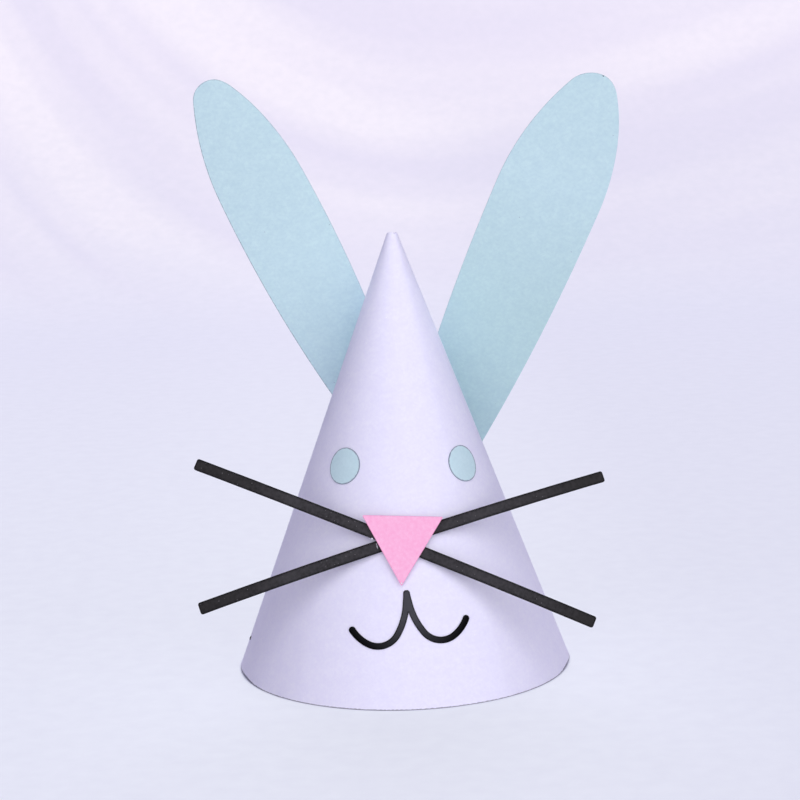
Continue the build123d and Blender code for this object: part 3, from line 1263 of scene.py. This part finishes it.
@dataclass
class Ears:
    """The two ears, which cross in a V on the back of the cone.

    Attributes:
        cone: The cone that they are glued to.
        card: Thickness of their card.
        glue: Thickness of the glue.
        azimuth_deg: Where their plane touches the cone, from +X.
        crossing: Where their middle lines cross in that plane, seen from outside.
        lean_deg: How far each leans to its side.
    """

    cone: Cone
    card: float = 0.3 * MM
    glue: float = 0.15 * MM
    azimuth_deg: float = 86.0
    crossing: tuple[float, float] = (-6.3 * MM, 56.6 * MM)
    lean_deg: float = 21.7

    @property
    def leaves(self) -> tuple[EarLeaf, EarLeaf]:
        """The ears' leaves.

        Returns:
            The left leaf, which lies on the right one, and the right leaf, which lies on the cone.
        """
        return (
            EarLeaf(Side.LEFT, BLUE_CARD, 2 * self.glue + self.card, reach=183.5 * MM, tail=4.5 * MM,
                    tip_radius=8.2 * MM, tip_angle_deg=67.6, flank_radius=112.8 * MM, flank_angle_deg=20.1,
                    foot_width=5.2 * MM, camber=0.5 * MM, trim=0.8 * MM),
            EarLeaf(Side.RIGHT, BLUE_CARD_RIGHT_SHADED, self.glue, reach=181.9 * MM, tail=8.0 * MM,
                    tip_radius=9.8 * MM, tip_angle_deg=63.6, flank_radius=99.6 * MM, flank_angle_deg=25.9,
                    foot_width=18.7 * MM, camber=0.4 * MM, trim=0.7 * MM),
        )

    def laid(self, leaf: EarLeaf) -> Placing:
        """The rule that lays a leaf in the plane: it is turned to its lean about the crossing and
        cambered, so that its sides stand back from its middle line by the square of the way out.

        Args:
            leaf: The leaf.

        Returns:
            The placing rule.
        """
        plane = self.cone.touching(self.azimuth_deg)
        widest = float(leaf.half_width(np.linspace(0.0, leaf.length, 200)).max())

        def place(flat: FloatArray, lift: float) -> FloatArray:
            """Lays places of the leaf.

            Args:
                flat: Two coordinates a place.
                lift: Height over the plane.

            Returns:
                Three coordinates a place.
            """
            above = np.clip((flat[:, 1] + leaf.reach) / leaf.reach, 0.0, 1.0)
            bow = leaf.camber * above * (flat[:, 0] / widest) ** 2
            upright = turned(flat, 0.0, 0.0, leaf.reach)
            return plane.place(turned(upright, leaf.side.value * self.lean_deg, *self.crossing), lift + bow)

        return place

    def build(self, workshop: Workshop) -> None:
        """Builds and dresses both ears.

        Args:
            workshop: Where the pieces are made.
        """
        for leaf in self.leaves:
            node = f"ear_{leaf.side.name.lower()}"
            sheet = Sheet(f"{node}_card", leaf.blank(), self.laid(leaf), leaf.under, self.card)
            workshop.make(sheet, leaf.finish, Slot.BLUE_CARD, node)


@dataclass(frozen=True)
class Strip:
    """One whisker strip.

    Attributes:
        name: Rising or falling, as it is seen from left to right.
        slope_deg: Its slope.
        rise: Where its middle line crosses the front of the cone, above the rim.
        left_reach: Its length to the left of that line.
        right_reach: Its length to the right.
        bow_radius: Radius of its bow.
        layer: How many strips lie under it.
        taper: How much wider its left end is cut than its right end.
    """

    name: str
    slope_deg: float
    rise: float
    left_reach: float
    right_reach: float
    bow_radius: float
    layer: int
    taper: float = 0.0


@dataclass
class Whiskers:
    """The two strips of black card, which cross on the front of the cone and bow back.

    Attributes:
        cone: The cone that they are glued to.
        strips: The strips, the lower one first.
        card: Thickness of their card.
        glue: Thickness of the glue.
        width: Their width.
        corner: Radius of their corners.
        slow_wave: How much the width wanders slowly, and over which length.
        quick_wave: The same for the quicker wandering.
    """

    cone: Cone
    strips: tuple[Strip, Strip] = (
        Strip("rising", slope_deg=15.9, rise=59.4 * MM, left_reach=76.8 * MM, right_reach=75.3 * MM,
              bow_radius=223.0 * MM, layer=0, taper=0.3 * MM),
        Strip("falling", slope_deg=-24.2, rise=56.4 * MM, left_reach=79.2 * MM, right_reach=70.5 * MM,
              bow_radius=505.0 * MM, layer=1),
    )
    card: float = 0.4 * MM
    glue: float = 0.15 * MM
    width: float = 4.15 * MM
    corner: float = 0.8 * MM
    slow_wave: tuple[float, float] = (0.04 * MM, 17 * MM)
    quick_wave: tuple[float, float] = (0.02 * MM, 3.1 * MM)

    def blank(self, strip: Strip, rows: int = 11, columns: int = 240, corner_columns: int = 7) -> Blank:
        """The strip as it is cut: a long rectangle that narrows to the right, whose width wanders
        by two cosines, and whose corners are quarter circles.

        Args:
            strip: The strip.
            rows: How many points there are across it.
            columns: How many points there are along it, between the corners.
            corner_columns: How many more there are in the corners at each end.

        Returns:
            The blank.
        """
        rounding = self.corner * (1 - np.cos(np.linspace(0.0, math.pi / 2, corner_columns, endpoint=False)))
        straight = np.linspace(-strip.left_reach + self.corner, strip.right_reach - self.corner, columns)
        along = np.concatenate([-strip.left_reach + rounding, straight, (strip.right_reach - rounding)[::-1]])
        y, x = np.meshgrid(np.linspace(0.5, -0.5, rows), along, indexing="ij")
        narrowing = strip.taper * x / (strip.left_reach + strip.right_reach)
        (slow, slow_length), (quick, quick_length) = self.slow_wave, self.quick_wave
        waves = slow * np.cos(x / slow_length + strip.layer) + quick * np.cos(x / quick_length)
        from_end = np.minimum(np.minimum(x + strip.left_reach, strip.right_reach - x), self.corner)
        cut_back = self.corner - np.sqrt(self.corner ** 2 - (self.corner - from_end) ** 2)
        width = self.width - narrowing + waves - 2 * cut_back
        return Blank(np.stack([x, y * width], axis=2).reshape(-1, 2), grid_quads(*x.shape))

    def bent(self, strip: Strip, under: float) -> Placing:
        """The rule that bends a strip back round a cylinder that touches the front of the cone,
        so that its length goes round the cylinder and its width stays straight.

        Args:
            strip: The strip.
            under: The lift of its under face, where its length is true.

        Returns:
            The placing rule.
        """
        plane = self.cone.touching(FRONT_DEG)

        def place(flat: FloatArray, lift: float) -> FloatArray:
            """Bends places of the strip.

            Args:
                flat: Two coordinates a place.
                lift: Height over the cone.

            Returns:
                Three coordinates a place.
            """
            swept = flat[:, 0] / strip.bow_radius
            radius = strip.bow_radius + lift - under
            curved = np.stack([radius * np.sin(swept), flat[:, 1]], axis=1)
            out = under - strip.bow_radius + radius * np.cos(swept)
            return plane.place(turned(curved, strip.slope_deg, 0.0, strip.rise), out)

        return place

    def lift_of(self, layer: int) -> float:
        """The lift of the under face of what lies on so many strips."""
        return self.glue + layer * (self.card + self.glue)

    def build(self, workshop: Workshop) -> None:
        """Builds and dresses both strips.

        Args:
            workshop: Where the pieces are made.
        """
        for strip in self.strips:
            under, node = self.lift_of(strip.layer), f"whisker_{strip.name}"
            sheet = Sheet(f"{node}_card", self.blank(strip), self.bent(strip, under), under, self.card)
            workshop.make(sheet, BLACK_CARD, Slot.BLACK_CARD, node)


@dataclass
class Nose:
    """The flat triangle of pink card, point down, over the crossing of the whiskers.

    Attributes:
        cone: The cone that it stands before.
        lift: How far it stands off the cone.
        card: Thickness of its card.
        side: Length of its sides.
        corner: Radius of its corners.
        shift: Where its centre is, to the right of the front.
        rise: Where its centre is, up the slope from the rim.
        angle_deg: Its turn.
    """

    cone: Cone
    lift: float
    card: float = 0.3 * MM
    side: float = 28.1 * MM
    corner: float = 0.3 * MM
    shift: float = -1.4 * MM
    rise: float = 58.7 * MM
    angle_deg: float = -3.5

    def blank(self, steps: int = 34, rings: int = 16) -> Blank:
        """The triangle about its centre. From the centre, a side lies at its distance over the
        cosine of the angle off its middle, and near a corner the outline is the corner's circle.

        Args:
            steps: How many spokes there are to half a side.
            rings: How many rings of points there are.

        Returns:
            The blank.
        """
        inner, outer = self.side / (2 * math.sqrt(3)), self.side / math.sqrt(3)
        middle = outer - 2 * self.corner
        half_corner = math.atan2(self.corner * math.sin(THIRD / 2),
                                 middle + self.corner * math.cos(THIRD / 2))
        off = THIRD / 2 * (np.arange(steps) / steps) ** 2
        off = np.unique(np.concatenate([off, THIRD - off[:0:-1], [THIRD / 2]]))
        from_corner = np.minimum(off, THIRD - off)
        on_side = inner / np.cos(THIRD / 2 - from_corner)
        on_circle = middle * np.cos(from_corner) + np.sqrt(
            np.maximum(self.corner ** 2 - (middle * np.sin(from_corner)) ** 2, 0.0))
        radius = np.where(from_corner < half_corner, on_circle, on_side)
        angle = np.concatenate([off + turn * THIRD - math.pi / 2 for turn in range(3)])
        return star_blank(np.tile(radius, 3), angle, rings)

    def build(self, workshop: Workshop) -> None:
        """Builds and dresses the nose.

        Args:
            workshop: Where the piece is made.
        """
        plane = self.cone.touching(FRONT_DEG)

        def place(flat: FloatArray, lift: float) -> FloatArray:
            """Lays places of the triangle."""
            return plane.place(turned(flat, self.angle_deg, self.shift, self.rise), lift)

        sheet = Sheet("nose_card", self.blank(), place, self.lift, self.card)
        workshop.make(sheet, PINK_CARD, Slot.PINK_CARD, "nose")


@dataclass
class Eyes:
    """The two round pieces of paper, pressed onto the cone.

    Attributes:
        cone: The cone.
        eyes: The side of each eye, its turn from the front in degrees, and its way up the slope.
        paper: Thickness of the paper.
        glue: Thickness of the glue.
        diameter: Their diameter.
    """

    cone: Cone
    eyes: tuple[tuple[Side, float, float], ...] = (
        (Side.LEFT, -40.7, 83.6 * MM), (Side.RIGHT, 43.4, 82.7 * MM))
    paper: float = 0.15 * MM
    glue: float = 0.15 * MM
    diameter: float = 13.0 * MM

    def build(self, workshop: Workshop, spokes: int = 120, rings: int = 16) -> None:
        """Builds and dresses both eyes.

        Args:
            workshop: Where the pieces are made.
            spokes: How many points there are round the disc.
            rings: How many rings of points there are.
        """
        angle = np.linspace(0.0, 2 * math.pi, spokes, endpoint=False)
        disc = star_blank(np.full(spokes, self.diameter / 2), angle, rings)
        for side, turn_deg, rise in self.eyes:
            node = f"eye_{side.name.lower()}"
            placing = self.cone.pressing(FRONT_DEG + turn_deg, 0.0, 0.0, rise)
            sheet = Sheet(f"{node}_paper", disc, placing, self.glue, self.paper)
            workshop.make(sheet, BLUE_PAPER, Slot.BLUE_PAPER, node)


@dataclass
class Mouth:
    """The black line, which leaves its peak downwards to both sides and curls up at its ends.

    Attributes:
        cone: The cone that it is pressed onto.
        paper: Thickness of the paper.
        glue: Thickness of the glue.
        line: Width of the line.
        shift: Where its peak is, to the right of the front.
        rise: Where its peak is, up the slope from the rim.
        angle_deg: Its turn.
        peak_half: How far a half's middle line starts from the middle.
        peak_way: How far down from the peak the halves are narrowed for that.
        arcs: Radius and turn in degrees of the arcs of one half, from the peak.
    """

    cone: Cone
    paper: float = 0.15 * MM
    glue: float = 0.15 * MM
    line: float = 2.3 * MM
    shift: float = -0.74 * MM
    rise: float = 40.1 * MM
    angle_deg: float = 3.4
    peak_half: float = 0.27 * MM
    peak_way: float = 3 * MM
    arcs: tuple[tuple[float, float], ...] = ((24.4 * MM, 34.7), (7.5 * MM, 88.0), (13.8 * MM, 31.5))

    def middle_line(self, way: FloatArray) -> tuple[FloatArray, FloatArray]:
        """The right half's middle line: arcs that follow on from each other, turning to the left,
        with straight run-outs before the first and after the last.

        Args:
            way: Ways along the line from the peak; below 0 is above the peak.

        Returns:
            The places and the unit headings.
        """
        start = np.array([self.peak_half, 0.0])
        heading, begun = -math.pi / 2, 0.0
        run = np.array([math.cos(heading), math.sin(heading)])
        place = start + way[:, None] * run
        facing = np.broadcast_to(run, place.shape).copy()
        for radius, turn_deg in self.arcs:
            turn = math.radians(turn_deg)
            centre = start + radius * np.array([-math.sin(heading), math.cos(heading)])
            here = way >= begun
            swept = heading + np.clip(way[here] - begun, 0.0, radius * turn) / radius
            beyond = np.maximum(way[here] - begun - radius * turn, 0.0)[:, None]
            facing[here] = np.stack([np.cos(swept), np.sin(swept)], axis=1)
            on_arc = centre + radius * np.stack([np.sin(swept), -np.cos(swept)], axis=1)
            place[here] = on_arc + beyond * facing[here]
            heading, begun = heading + turn, begun + radius * turn
            start = centre + radius * np.array([math.sin(heading), -math.cos(heading)])
        return place, facing

    def blank(self, rows: int = 170, columns: int = 9) -> Blank:
        """Both halves: the line's width is carried along its middle line, ends in half circles,
        and stops at the middle of the mouth, where the halves meet. Near the peak it is narrower
        by as much as the halves start apart, so that one round end covers both.

        Args:
            rows: How many rows there are along a half.
            columns: How many points a row has.

        Returns:
            The blank, with the peak at the origin.
        """
        pen = self.line / 2
        length = sum(radius * math.radians(turn) for radius, turn in self.arcs)
        share = (1 - np.cos(np.pi * np.linspace(0.0, 1.0, rows))) / 2
        way = -pen + (length + 2 * pen) * share
        place, facing = self.middle_line(way)
        past_end = np.maximum(np.maximum(-way, way - length), 0.0)
        near_peak = 1 - np.clip(way / self.peak_way, 0.0, 1.0)
        half = np.sqrt(np.maximum(pen ** 2 - past_end ** 2, 0.0)) - self.peak_half * near_peak
        half = np.maximum(half, 0.0)
        leftwards = np.stack([facing[:, 1], -facing[:, 0]], axis=1)
        to_middle = place[:, 0] / np.maximum(-leftwards[:, 0], 1e-6)
        inner = np.minimum(half, np.where(leftwards[:, 0] < 0, to_middle, half))
        across = np.linspace(0.0, 1.0, columns)
        offset = inner[:, None] * (1 - across) - half[:, None] * across
        points = place[:, None, :] + offset[:, :, None] * leftwards[:, None, :]
        return self.both_halves(points.reshape(-1, 2), grid_quads(rows, columns))

    @staticmethod
    def both_halves(points: FloatArray, quads: IntArray, grain: float = 1e-7) -> Blank:
        """A half and its mirror image, with the points that fall together made one.

        Args:
            points: The right half's points.
            quads: The right half's quads, anticlockwise.
            grain: How close points are that are made one, in metres.

        Returns:
            The whole blank.
        """
        every = np.vstack([points, points * [-1.0, 1.0]])
        _, first, number = np.unique(np.round(every / grain), axis=0, return_index=True, return_inverse=True)
        faces = number.ravel()[np.vstack([quads, quads[:, ::-1] + len(points)])]
        ring = np.sort(faces, axis=1)
        repeats = (ring[:, 1:] == ring[:, :-1]).sum(axis=1)
        whole, folded = faces[repeats == 0], faces[repeats == 1]
        triangles = folded[folded != np.roll(folded, 1, axis=1)].reshape(-1, 3)
        return Blank(every[first], whole, triangles).compacted()

    def build(self, workshop: Workshop) -> None:
        """Builds and dresses the mouth.

        Args:
            workshop: Where the piece is made.
        """
        placing = self.cone.pressing(FRONT_DEG, self.angle_deg, self.shift, self.rise)
        sheet = Sheet("mouth_paper", self.blank(), placing, self.glue, self.paper)
        workshop.make(sheet, BLACK_PAPER, Slot.BLACK_PAPER, "mouth")


@dataclass(frozen=True)
class GlueSpot:
    """One spot of glue that was pressed out and dried, or one dark bump that stands in for the shade inside a
    cord hole, as painted shade.

    Attributes:
        name: What it is.
        finish: Its glue.
        centre: Its place on the plane that touches the cone.
        base: How far its under side stands off that plane.
        half_length: Half its length.
        half_width: Half its width.
        height: How high its middle stands.
        turn_deg: The turn of its length.
        azimuth_deg: Where the plane touches, in degrees round the cone from +X.
        bulge: How far its three bulges stand out, as a share of the radius.
        rim_share: How high its outline stands, as a share of the height.
    """

    name: str
    finish: GlueFinish
    centre: tuple[float, float]
    base: float
    half_length: float
    half_width: float
    height: float
    turn_deg: float
    azimuth_deg: float = FRONT_DEG
    bulge: float = 0.12
    rim_share: float = 0.1

    def outline(self, angle: FloatArray) -> FloatArray:
        """Its outline's distance from its middle: an ellipse's, with three slight bulges.

        Args:
            angle: Angles from its length, in radians.

        Returns:
            The distances.
        """
        ellipse = self.half_length * self.half_width / np.hypot(
            self.half_width * np.cos(angle), self.half_length * np.sin(angle))
        return ellipse * (1 + self.bulge * np.sin(3 * angle + 1.0))


@dataclass
class GlueSpots:
    """The glue that shows in front, at one strip's edge, on the other strip and at the nose's point, and a
    dark bump on the cone's left edge by the cord hole, which is painted shade of the inside of the hole."""

    cone: Cone
    spots: tuple[GlueSpot, ...] = (
        GlueSpot("glue_on_edge", DRIED_GLUE, (-11.8 * MM, 59.45 * MM), 0.55 * MM, half_length=0.5 * MM,
                 half_width=0.34 * MM, height=0.5 * MM, turn_deg=-24.0),
        GlueSpot("glue_on_strip", THIN_GLUE, (-10.15 * MM, 56.75 * MM), 0.27 * MM, half_length=1.2 * MM,
                 half_width=0.22 * MM, height=0.14 * MM, turn_deg=100.0),
        GlueSpot("glue_on_nose", DRIED_GLUE, (-2.32 * MM, 43.5 * MM), 1.54 * MM, half_length=0.28 * MM,
                 half_width=0.22 * MM, height=0.16 * MM, turn_deg=80.0),
        # A dark bump by the left cord hole: painted shade of the inside of the hole, which the hole itself is
        # too small to show from the front.
        GlueSpot("hole_shade_speck", HOLE_SHADE_SPECK, (0.0, 12.0 * MM), 0.0, half_length=0.85 * MM,
                 half_width=0.42 * MM, height=0.42 * MM, turn_deg=90.0, azimuth_deg=181.9),
    )

    def domed(self, spot: GlueSpot) -> Placing:
        """The rule that makes a flat blank a drop: its upper face falls from the middle to the
        outline as a half ellipse does, and its under face lies on what carries it.

        Args:
            spot: The spot.

        Returns:
            The placing rule.
        """
        plane = self.cone.touching(spot.azimuth_deg)

        def place(flat: FloatArray, lift: float) -> FloatArray:
            """Lays places of the spot.

            Args:
                flat: Two coordinates a place.
                lift: Height over its under side.

            Returns:
                Three coordinates a place.
            """
            way = np.hypot(flat[:, 0], flat[:, 1]) / spot.outline(np.arctan2(flat[:, 1], flat[:, 0]))
            fall = spot.rim_share + (1 - spot.rim_share) * np.sqrt(np.maximum(1 - way ** 2, 0.0))
            return plane.place(turned(flat, spot.turn_deg, *spot.centre), spot.base + lift * fall)

        return place

    def build(self, workshop: Workshop, spokes: int = 40, rings: int = 8) -> None:
        """Builds and dresses the spots.

        Args:
            workshop: Where the pieces are made.
            spokes: How many points there are round a spot.
            rings: How many rings of points there are.
        """
        angle = np.linspace(0.0, 2 * math.pi, spokes, endpoint=False)
        for spot in self.spots:
            blank = star_blank(spot.outline(angle), angle, rings)
            workshop.make(Sheet(spot.name, blank, self.domed(spot), 0.0, spot.height), spot.finish)


# The photograph's surroundings

@dataclass(frozen=True)
class ClothFinish:
    """The pale cloth that the hat stands on. Colours are those of a screen, 0 to 255 a channel.

    Attributes:
        near: The floor's colour near the hat.
        near_right: The same, further to the right.
        far: The floor's colour far from the hat.
        wall: The colour of the part that hangs.
        fold_shade: Its colour in the folds: painted shade of the folds.
        uneven: The colour that the weave's unevenness and the shade at both sides go towards.
        lit_floor: The colour by which the floor shows shadows.
        lit_wall: The same for the part that hangs.
        thrown: The colour of the light that it throws on the hat.
        glow_share: The share of its look that no shadow darkens.
        hidden_radius: Radius of the floor under the hat, which doesn't glow.
        to_right: How X becomes the share of the right's colour, near the hat.
        to_far: How the distance from the hat becomes the share of the far colour.
        to_wall: How the height becomes the share of the wall's colour.
        to_lit_wall: The same for the light on it.
        weave: The weave's unevenness.
        right_shade: How X becomes the shade at the right.
        left_shade: The same at the left.
        low_down: How the height takes that shade away.
        folding: The noise of the folds, over a place that is scaled by the next two.
        folds_across: How fast the folds change from left to right, to the metre.
        folds_up: How fast they change upwards.
        folds_from: How the height lets them begin.
        sag_left: How steeply they rise to the left, in 1/m.
        sag_right: How steeply they rise to the right.
        sag_middle: Where they are lowest.
        sag_round: How far from there the one steepness gives way to the other.
    """

    near: Rgb = (238, 240, 251)
    near_right: Rgb = (230, 229, 242)
    far: Rgb = (235, 233, 250)
    wall: Rgb = (253, 246, 255)
    fold_shade: Rgb = (235, 229, 247)
    uneven: Rgb = (212, 212, 230)
    lit_floor: Rgb = (232, 234, 254)
    lit_wall: Rgb = (241, 235, 253)
    thrown: Rgb = (134, 128, 162)
    glow_share: float = 0.72
    hidden_radius: float = 59.6 * MM
    to_right: Span = (0.02, 0.3, 0.0, 0.7)
    to_far: Span = (0.1, 0.75)
    to_wall: Span = (0.0, 0.05)
    to_lit_wall: Span = (0.0, 0.16)
    weave: Pattern = Pattern(130.0, 3.0, (0.3, 0.7, 0.0, 0.17))
    right_shade: Span = (0.05, 0.13, 0.0, 0.25)
    left_shade: Span = (-0.13, -0.05, 0.12, 0.0)
    low_down: Span = (0.08, 0.16, 1.0, 0.0)
    folding: Pattern = Pattern(1.0, 2.0, (0.36, 0.64))
    folds_across: float = 1.5
    folds_up: float = 7.0
    folds_from: Span = (0.0, 0.03)
    sag_left: float = 4.0
    sag_right: float = 1.1
    sag_middle: float = 0.09
    sag_round: float = 0.08

    def folds(self, graph: Graph, x: Socket, y: Socket, z: Socket) -> Socket:
        """Painted shade of long folds in the hanging part, which sag between its ends: noise that changes
        fast over the way up the sweep from a sagging line, and slowly from left to right. The way up is Y +
        Z, and the line rises with the square of the way from its lowest point.

        Args:
            graph: The material's nodes.
            x: The place's first coordinate.
            y: The second.
            z: The third.

        Returns:
            The share of the painted shade of the folds.
        """
        aside = graph.math("SUBTRACT", x, self.sag_middle)
        sag = graph.span(aside, -self.sag_round, self.sag_round, self.sag_left, self.sag_right)
        line = graph.math("MULTIPLY", graph.math("MULTIPLY", aside, aside), sag)
        over_line = graph.math("SUBTRACT", graph.math("ADD", y, z), line)
        place = graph.add("ShaderNodeCombineXYZ", graph.math("MULTIPLY", x, self.folds_across),
                          graph.math("MULTIPLY", over_line, self.folds_up))
        share = self.folding.drawn(graph, place.outputs["Vector"])
        return graph.math("MULTIPLY", share, graph.span(z, *self.folds_from))

    def seen(self, graph: Graph, place: Socket, away: Socket) -> Socket:
        """The colour that is looked at: the floor from near to far, the wall with the painted shade of its
        folds, and over both the weave's unevenness and, low down, a slight painted shade towards both sides.

        Args:
            graph: The material's nodes.
            place: The place on the sweep.
            away: Its distance from the hat's middle.

        Returns:
            The colour.
        """
        x, y, z = graph.add("ShaderNodeSeparateXYZ", place).outputs
        nearby = graph.mix(graph.span(x, *self.to_right), linear(self.near), linear(self.near_right))
        floor = graph.mix(graph.span(away, *self.to_far), nearby, linear(self.far))
        wall = graph.mix(graph.span(z, *self.to_wall), floor, linear(self.wall))
        # The folds are painted shade.
        folded = graph.mix(self.folds(graph, x, y, z), wall, linear(self.fold_shade))
        sides = graph.math("MAXIMUM", graph.span(x, *self.right_shade), graph.span(x, *self.left_shade))
        shaded = graph.math("MULTIPLY", sides, graph.span(z, *self.low_down))
        uneven = graph.math("ADD", self.weave.drawn(graph, place), shaded)
        return graph.mix(uneven, folded, linear(self.uneven))

    def build(self) -> bpy.types.Material:
        """The material. Looked at, it is close to white and keeps a part of the shadows, but not
        under the hat; it throws little light back, so that the hat stays shaded.

        Returns:
            The material.
        """
        material, graph = new_material("pale_cloth")
        place = graph.add("ShaderNodeTexCoord").outputs["Object"]
        away = graph.vectors("LENGTH", "Value", place)
        height = graph.add("ShaderNodeSeparateXYZ", place).outputs["Z"]
        upwards = graph.span(height, *self.to_lit_wall)
        looked_at = graph.looked_at()
        pale = graph.mix(upwards, linear(self.lit_floor), linear(self.lit_wall))
        shader = graph.add("ShaderNodeBsdfPrincipled", Roughness=0.9, Specular_IOR_Level=0.1,
                           Base_Color=graph.mix(looked_at, linear(self.thrown), pale))
        glow = graph.add("ShaderNodeEmission", Strength=1.0, Color=self.seen(graph, place, away))
        glowing = graph.span(away, self.hidden_radius, self.hidden_radius + MM, 0.0, self.glow_share)
        blend = graph.add("ShaderNodeMixShader", graph.math("MULTIPLY", looked_at, glowing),
                          shader.outputs["BSDF"], glow.outputs["Emission"])
        graph.add("ShaderNodeOutputMaterial", Surface=blend.outputs["Shader"])
        return material


@dataclass(frozen=True)
class Lamp:
    """A wide, soft, far lamp.

    Attributes:
        name: The lamp's name.
        level: How bright it makes a white sheet that faces it, where 1 is white.
        width_deg: How wide it is, seen from the hat.
        azimuth_deg: How far it stands to the right of the front.
        elevation_deg: How high it stands.
    """

    name: str
    level: float
    width_deg: float
    azimuth_deg: float
    elevation_deg: float

    def build(self) -> None:
        """Hangs the lamp."""
        data = bpy.data.lights.new(self.name, "SUN")
        data.energy, data.angle = math.pi * self.level, math.radians(self.width_deg)
        lamp = bpy.data.objects.new(self.name, data)
        side, high = math.radians(self.azimuth_deg), math.radians(self.elevation_deg)
        shine = Vector((-math.sin(side) * math.cos(high), math.cos(side) * math.cos(high), -math.sin(high)))
        lamp.rotation_euler = shine.to_track_quat("-Z", "Y").to_euler()
        bpy.context.scene.collection.objects.link(lamp)


@dataclass
class Studio:
    """The pale sweep that the hat stands on, the soft lights and the camera.

    Attributes:
        distance: The camera's distance from the point that it aims at.
        elevation_deg: How far it looks down.
        azimuth_deg: How far it stands to the side of the front.
        roll_deg: How far it is turned about its own line of sight.
        lens_mm: Its focal length on a sensor 36 mm wide.
        aim_across: Where it aims, to the right of the hat's axis.
        aim_height: Where it aims, above the floor.
        lamps: The lamp in front, and the weaker lamp behind, for the seam and the ears' backs.
        sky_level: How bright the even sky is, where 1 is white.
        sky_colour: The colour of its light, on a screen, 0 to 255 a channel.
        sky_seen: The colour that is looked at beyond the sweep.
        cloth: The sweep's finish.
        floor_front: Where the sweep's floor starts.
        floor_back: Where it starts to rise.
        sweep_radius: Radius of its rise.
        wall_height: How high it goes.
        half_width: Half its width.
    """

    distance: float = 900.0 * MM
    elevation_deg: float = 10.795
    azimuth_deg: float = -2.5
    roll_deg: float = -1.733
    lens_mm: float = 113.08
    aim_across: float = 1.047 * MM
    aim_height: float = 96.683 * MM
    lamps: tuple[Lamp, ...] = (
        Lamp("front_lamp", level=1.20, width_deg=125.0, azimuth_deg=8.0, elevation_deg=8.0),
        Lamp("back_lamp", level=0.50, width_deg=40.0, azimuth_deg=176.0, elevation_deg=40.0),
    )
    sky_level: float = 0.12
    sky_colour: Rgb = (206, 200, 255)
    sky_seen: Rgb = (227, 226, 245)
    cloth: ClothFinish = ClothFinish()
    floor_front: float = -2.4
    floor_back: float = 0.75
    sweep_radius: float = 0.55
    wall_height: float = 2.2
    half_width: float = 2.2

    def camera(self) -> None:
        """Places the camera that the photograph was taken from."""
        down, side = math.radians(self.elevation_deg), math.radians(self.azimuth_deg)
        roll = math.radians(self.roll_deg)
        sight = Vector((-math.sin(side) * math.cos(down), math.cos(side) * math.cos(down), -math.sin(down)))
        level = Vector((math.cos(side), math.sin(side), 0.0))
        upright = level.cross(sight)
        right = math.cos(roll) * level + math.sin(roll) * upright
        up = math.cos(roll) * upright - math.sin(roll) * level
        aim = level * self.aim_across + Vector((0.0, 0.0, self.aim_height))
        camera = bpy.data.objects.new("camera", bpy.data.cameras.new("camera"))
        camera.data.lens = self.lens_mm
        camera.data.sensor_width = 36.0
        axes = Matrix((right, up, -sight)).transposed().to_4x4()
        camera.matrix_world = Matrix.Translation(aim - sight * self.distance) @ axes
        bpy.context.scene.collection.objects.link(camera)
        bpy.context.scene.camera = camera

    def sweep(self, steps: int = 40, columns: int = 3) -> None:
        """Builds floor and backdrop as one sheet: a straight floor, a quarter circle and a straight
        wall, carried from left to right.

        Args:
            steps: How many points there are on the quarter circle.
            columns: How many points there are from left to right.
        """
        quarter = np.linspace(0.0, math.pi / 2, steps)
        depth = np.concatenate([[self.floor_front], self.floor_back + self.sweep_radius * np.sin(quarter),
                                [self.floor_back + self.sweep_radius]])
        height = np.concatenate([[0.0], self.sweep_radius * (1 - np.cos(quarter)), [self.wall_height]])
        x, y = np.meshgrid(np.linspace(-self.half_width, self.half_width, columns), depth)
        z = np.broadcast_to(height[:, None], x.shape)
        points = np.stack([x, y, z], axis=2).reshape(-1, 3)
        mesh = mesh_of("sweep", points, grid_quads(*x.shape)[:, ::-1], np.zeros((0, 3), dtype=np.int64))
        mesh.shade_smooth()
        mesh.materials.append(self.cloth.build())
        sweep = bpy.data.objects.new("sweep", mesh)
        sweep.visible_shadow = False
        bpy.context.scene.collection.objects.link(sweep)

    def sky(self) -> None:
        """Makes the even sky, which shines with one colour and is looked at with another."""
        world = bpy.data.worlds.new("even_sky")
        world.use_nodes = True
        graph = Graph(world.node_tree)
        shining, seen = (
            graph.add("ShaderNodeBackground", Strength=level, Color=linear(colour)).outputs["Background"]
            for level, colour in ((self.sky_level, self.sky_colour), (1.0, self.sky_seen)))
        blend = graph.add("ShaderNodeMixShader", graph.looked_at(), shining, seen)
        graph.add("ShaderNodeOutputWorld", Surface=blend.outputs["Shader"])
        bpy.context.scene.world = world

    def build(self) -> None:
        """Builds the camera, the sweep, the lamps and the sky."""
        self.camera()
        self.sweep()
        for lamp in self.lamps:
            lamp.build()
        self.sky()
        bpy.context.scene.view_settings.view_transform = "Standard"


def main() -> None:
    """Builds the hat and its surroundings."""
    logging.basicConfig(level=logging.INFO, format="%(name)s %(message)s")
    workshop, cone = Workshop(), Cone()
    whiskers = Whiskers(cone)
    nose = Nose(cone, whiskers.lift_of(len(whiskers.strips)))
    for part in (HatCone(cone), Ears(cone), whiskers, nose, Eyes(cone), Mouth(cone), GlueSpots(cone)):
        part.build(workshop)
    Studio().build()


if __name__ == "__main__":
    main()
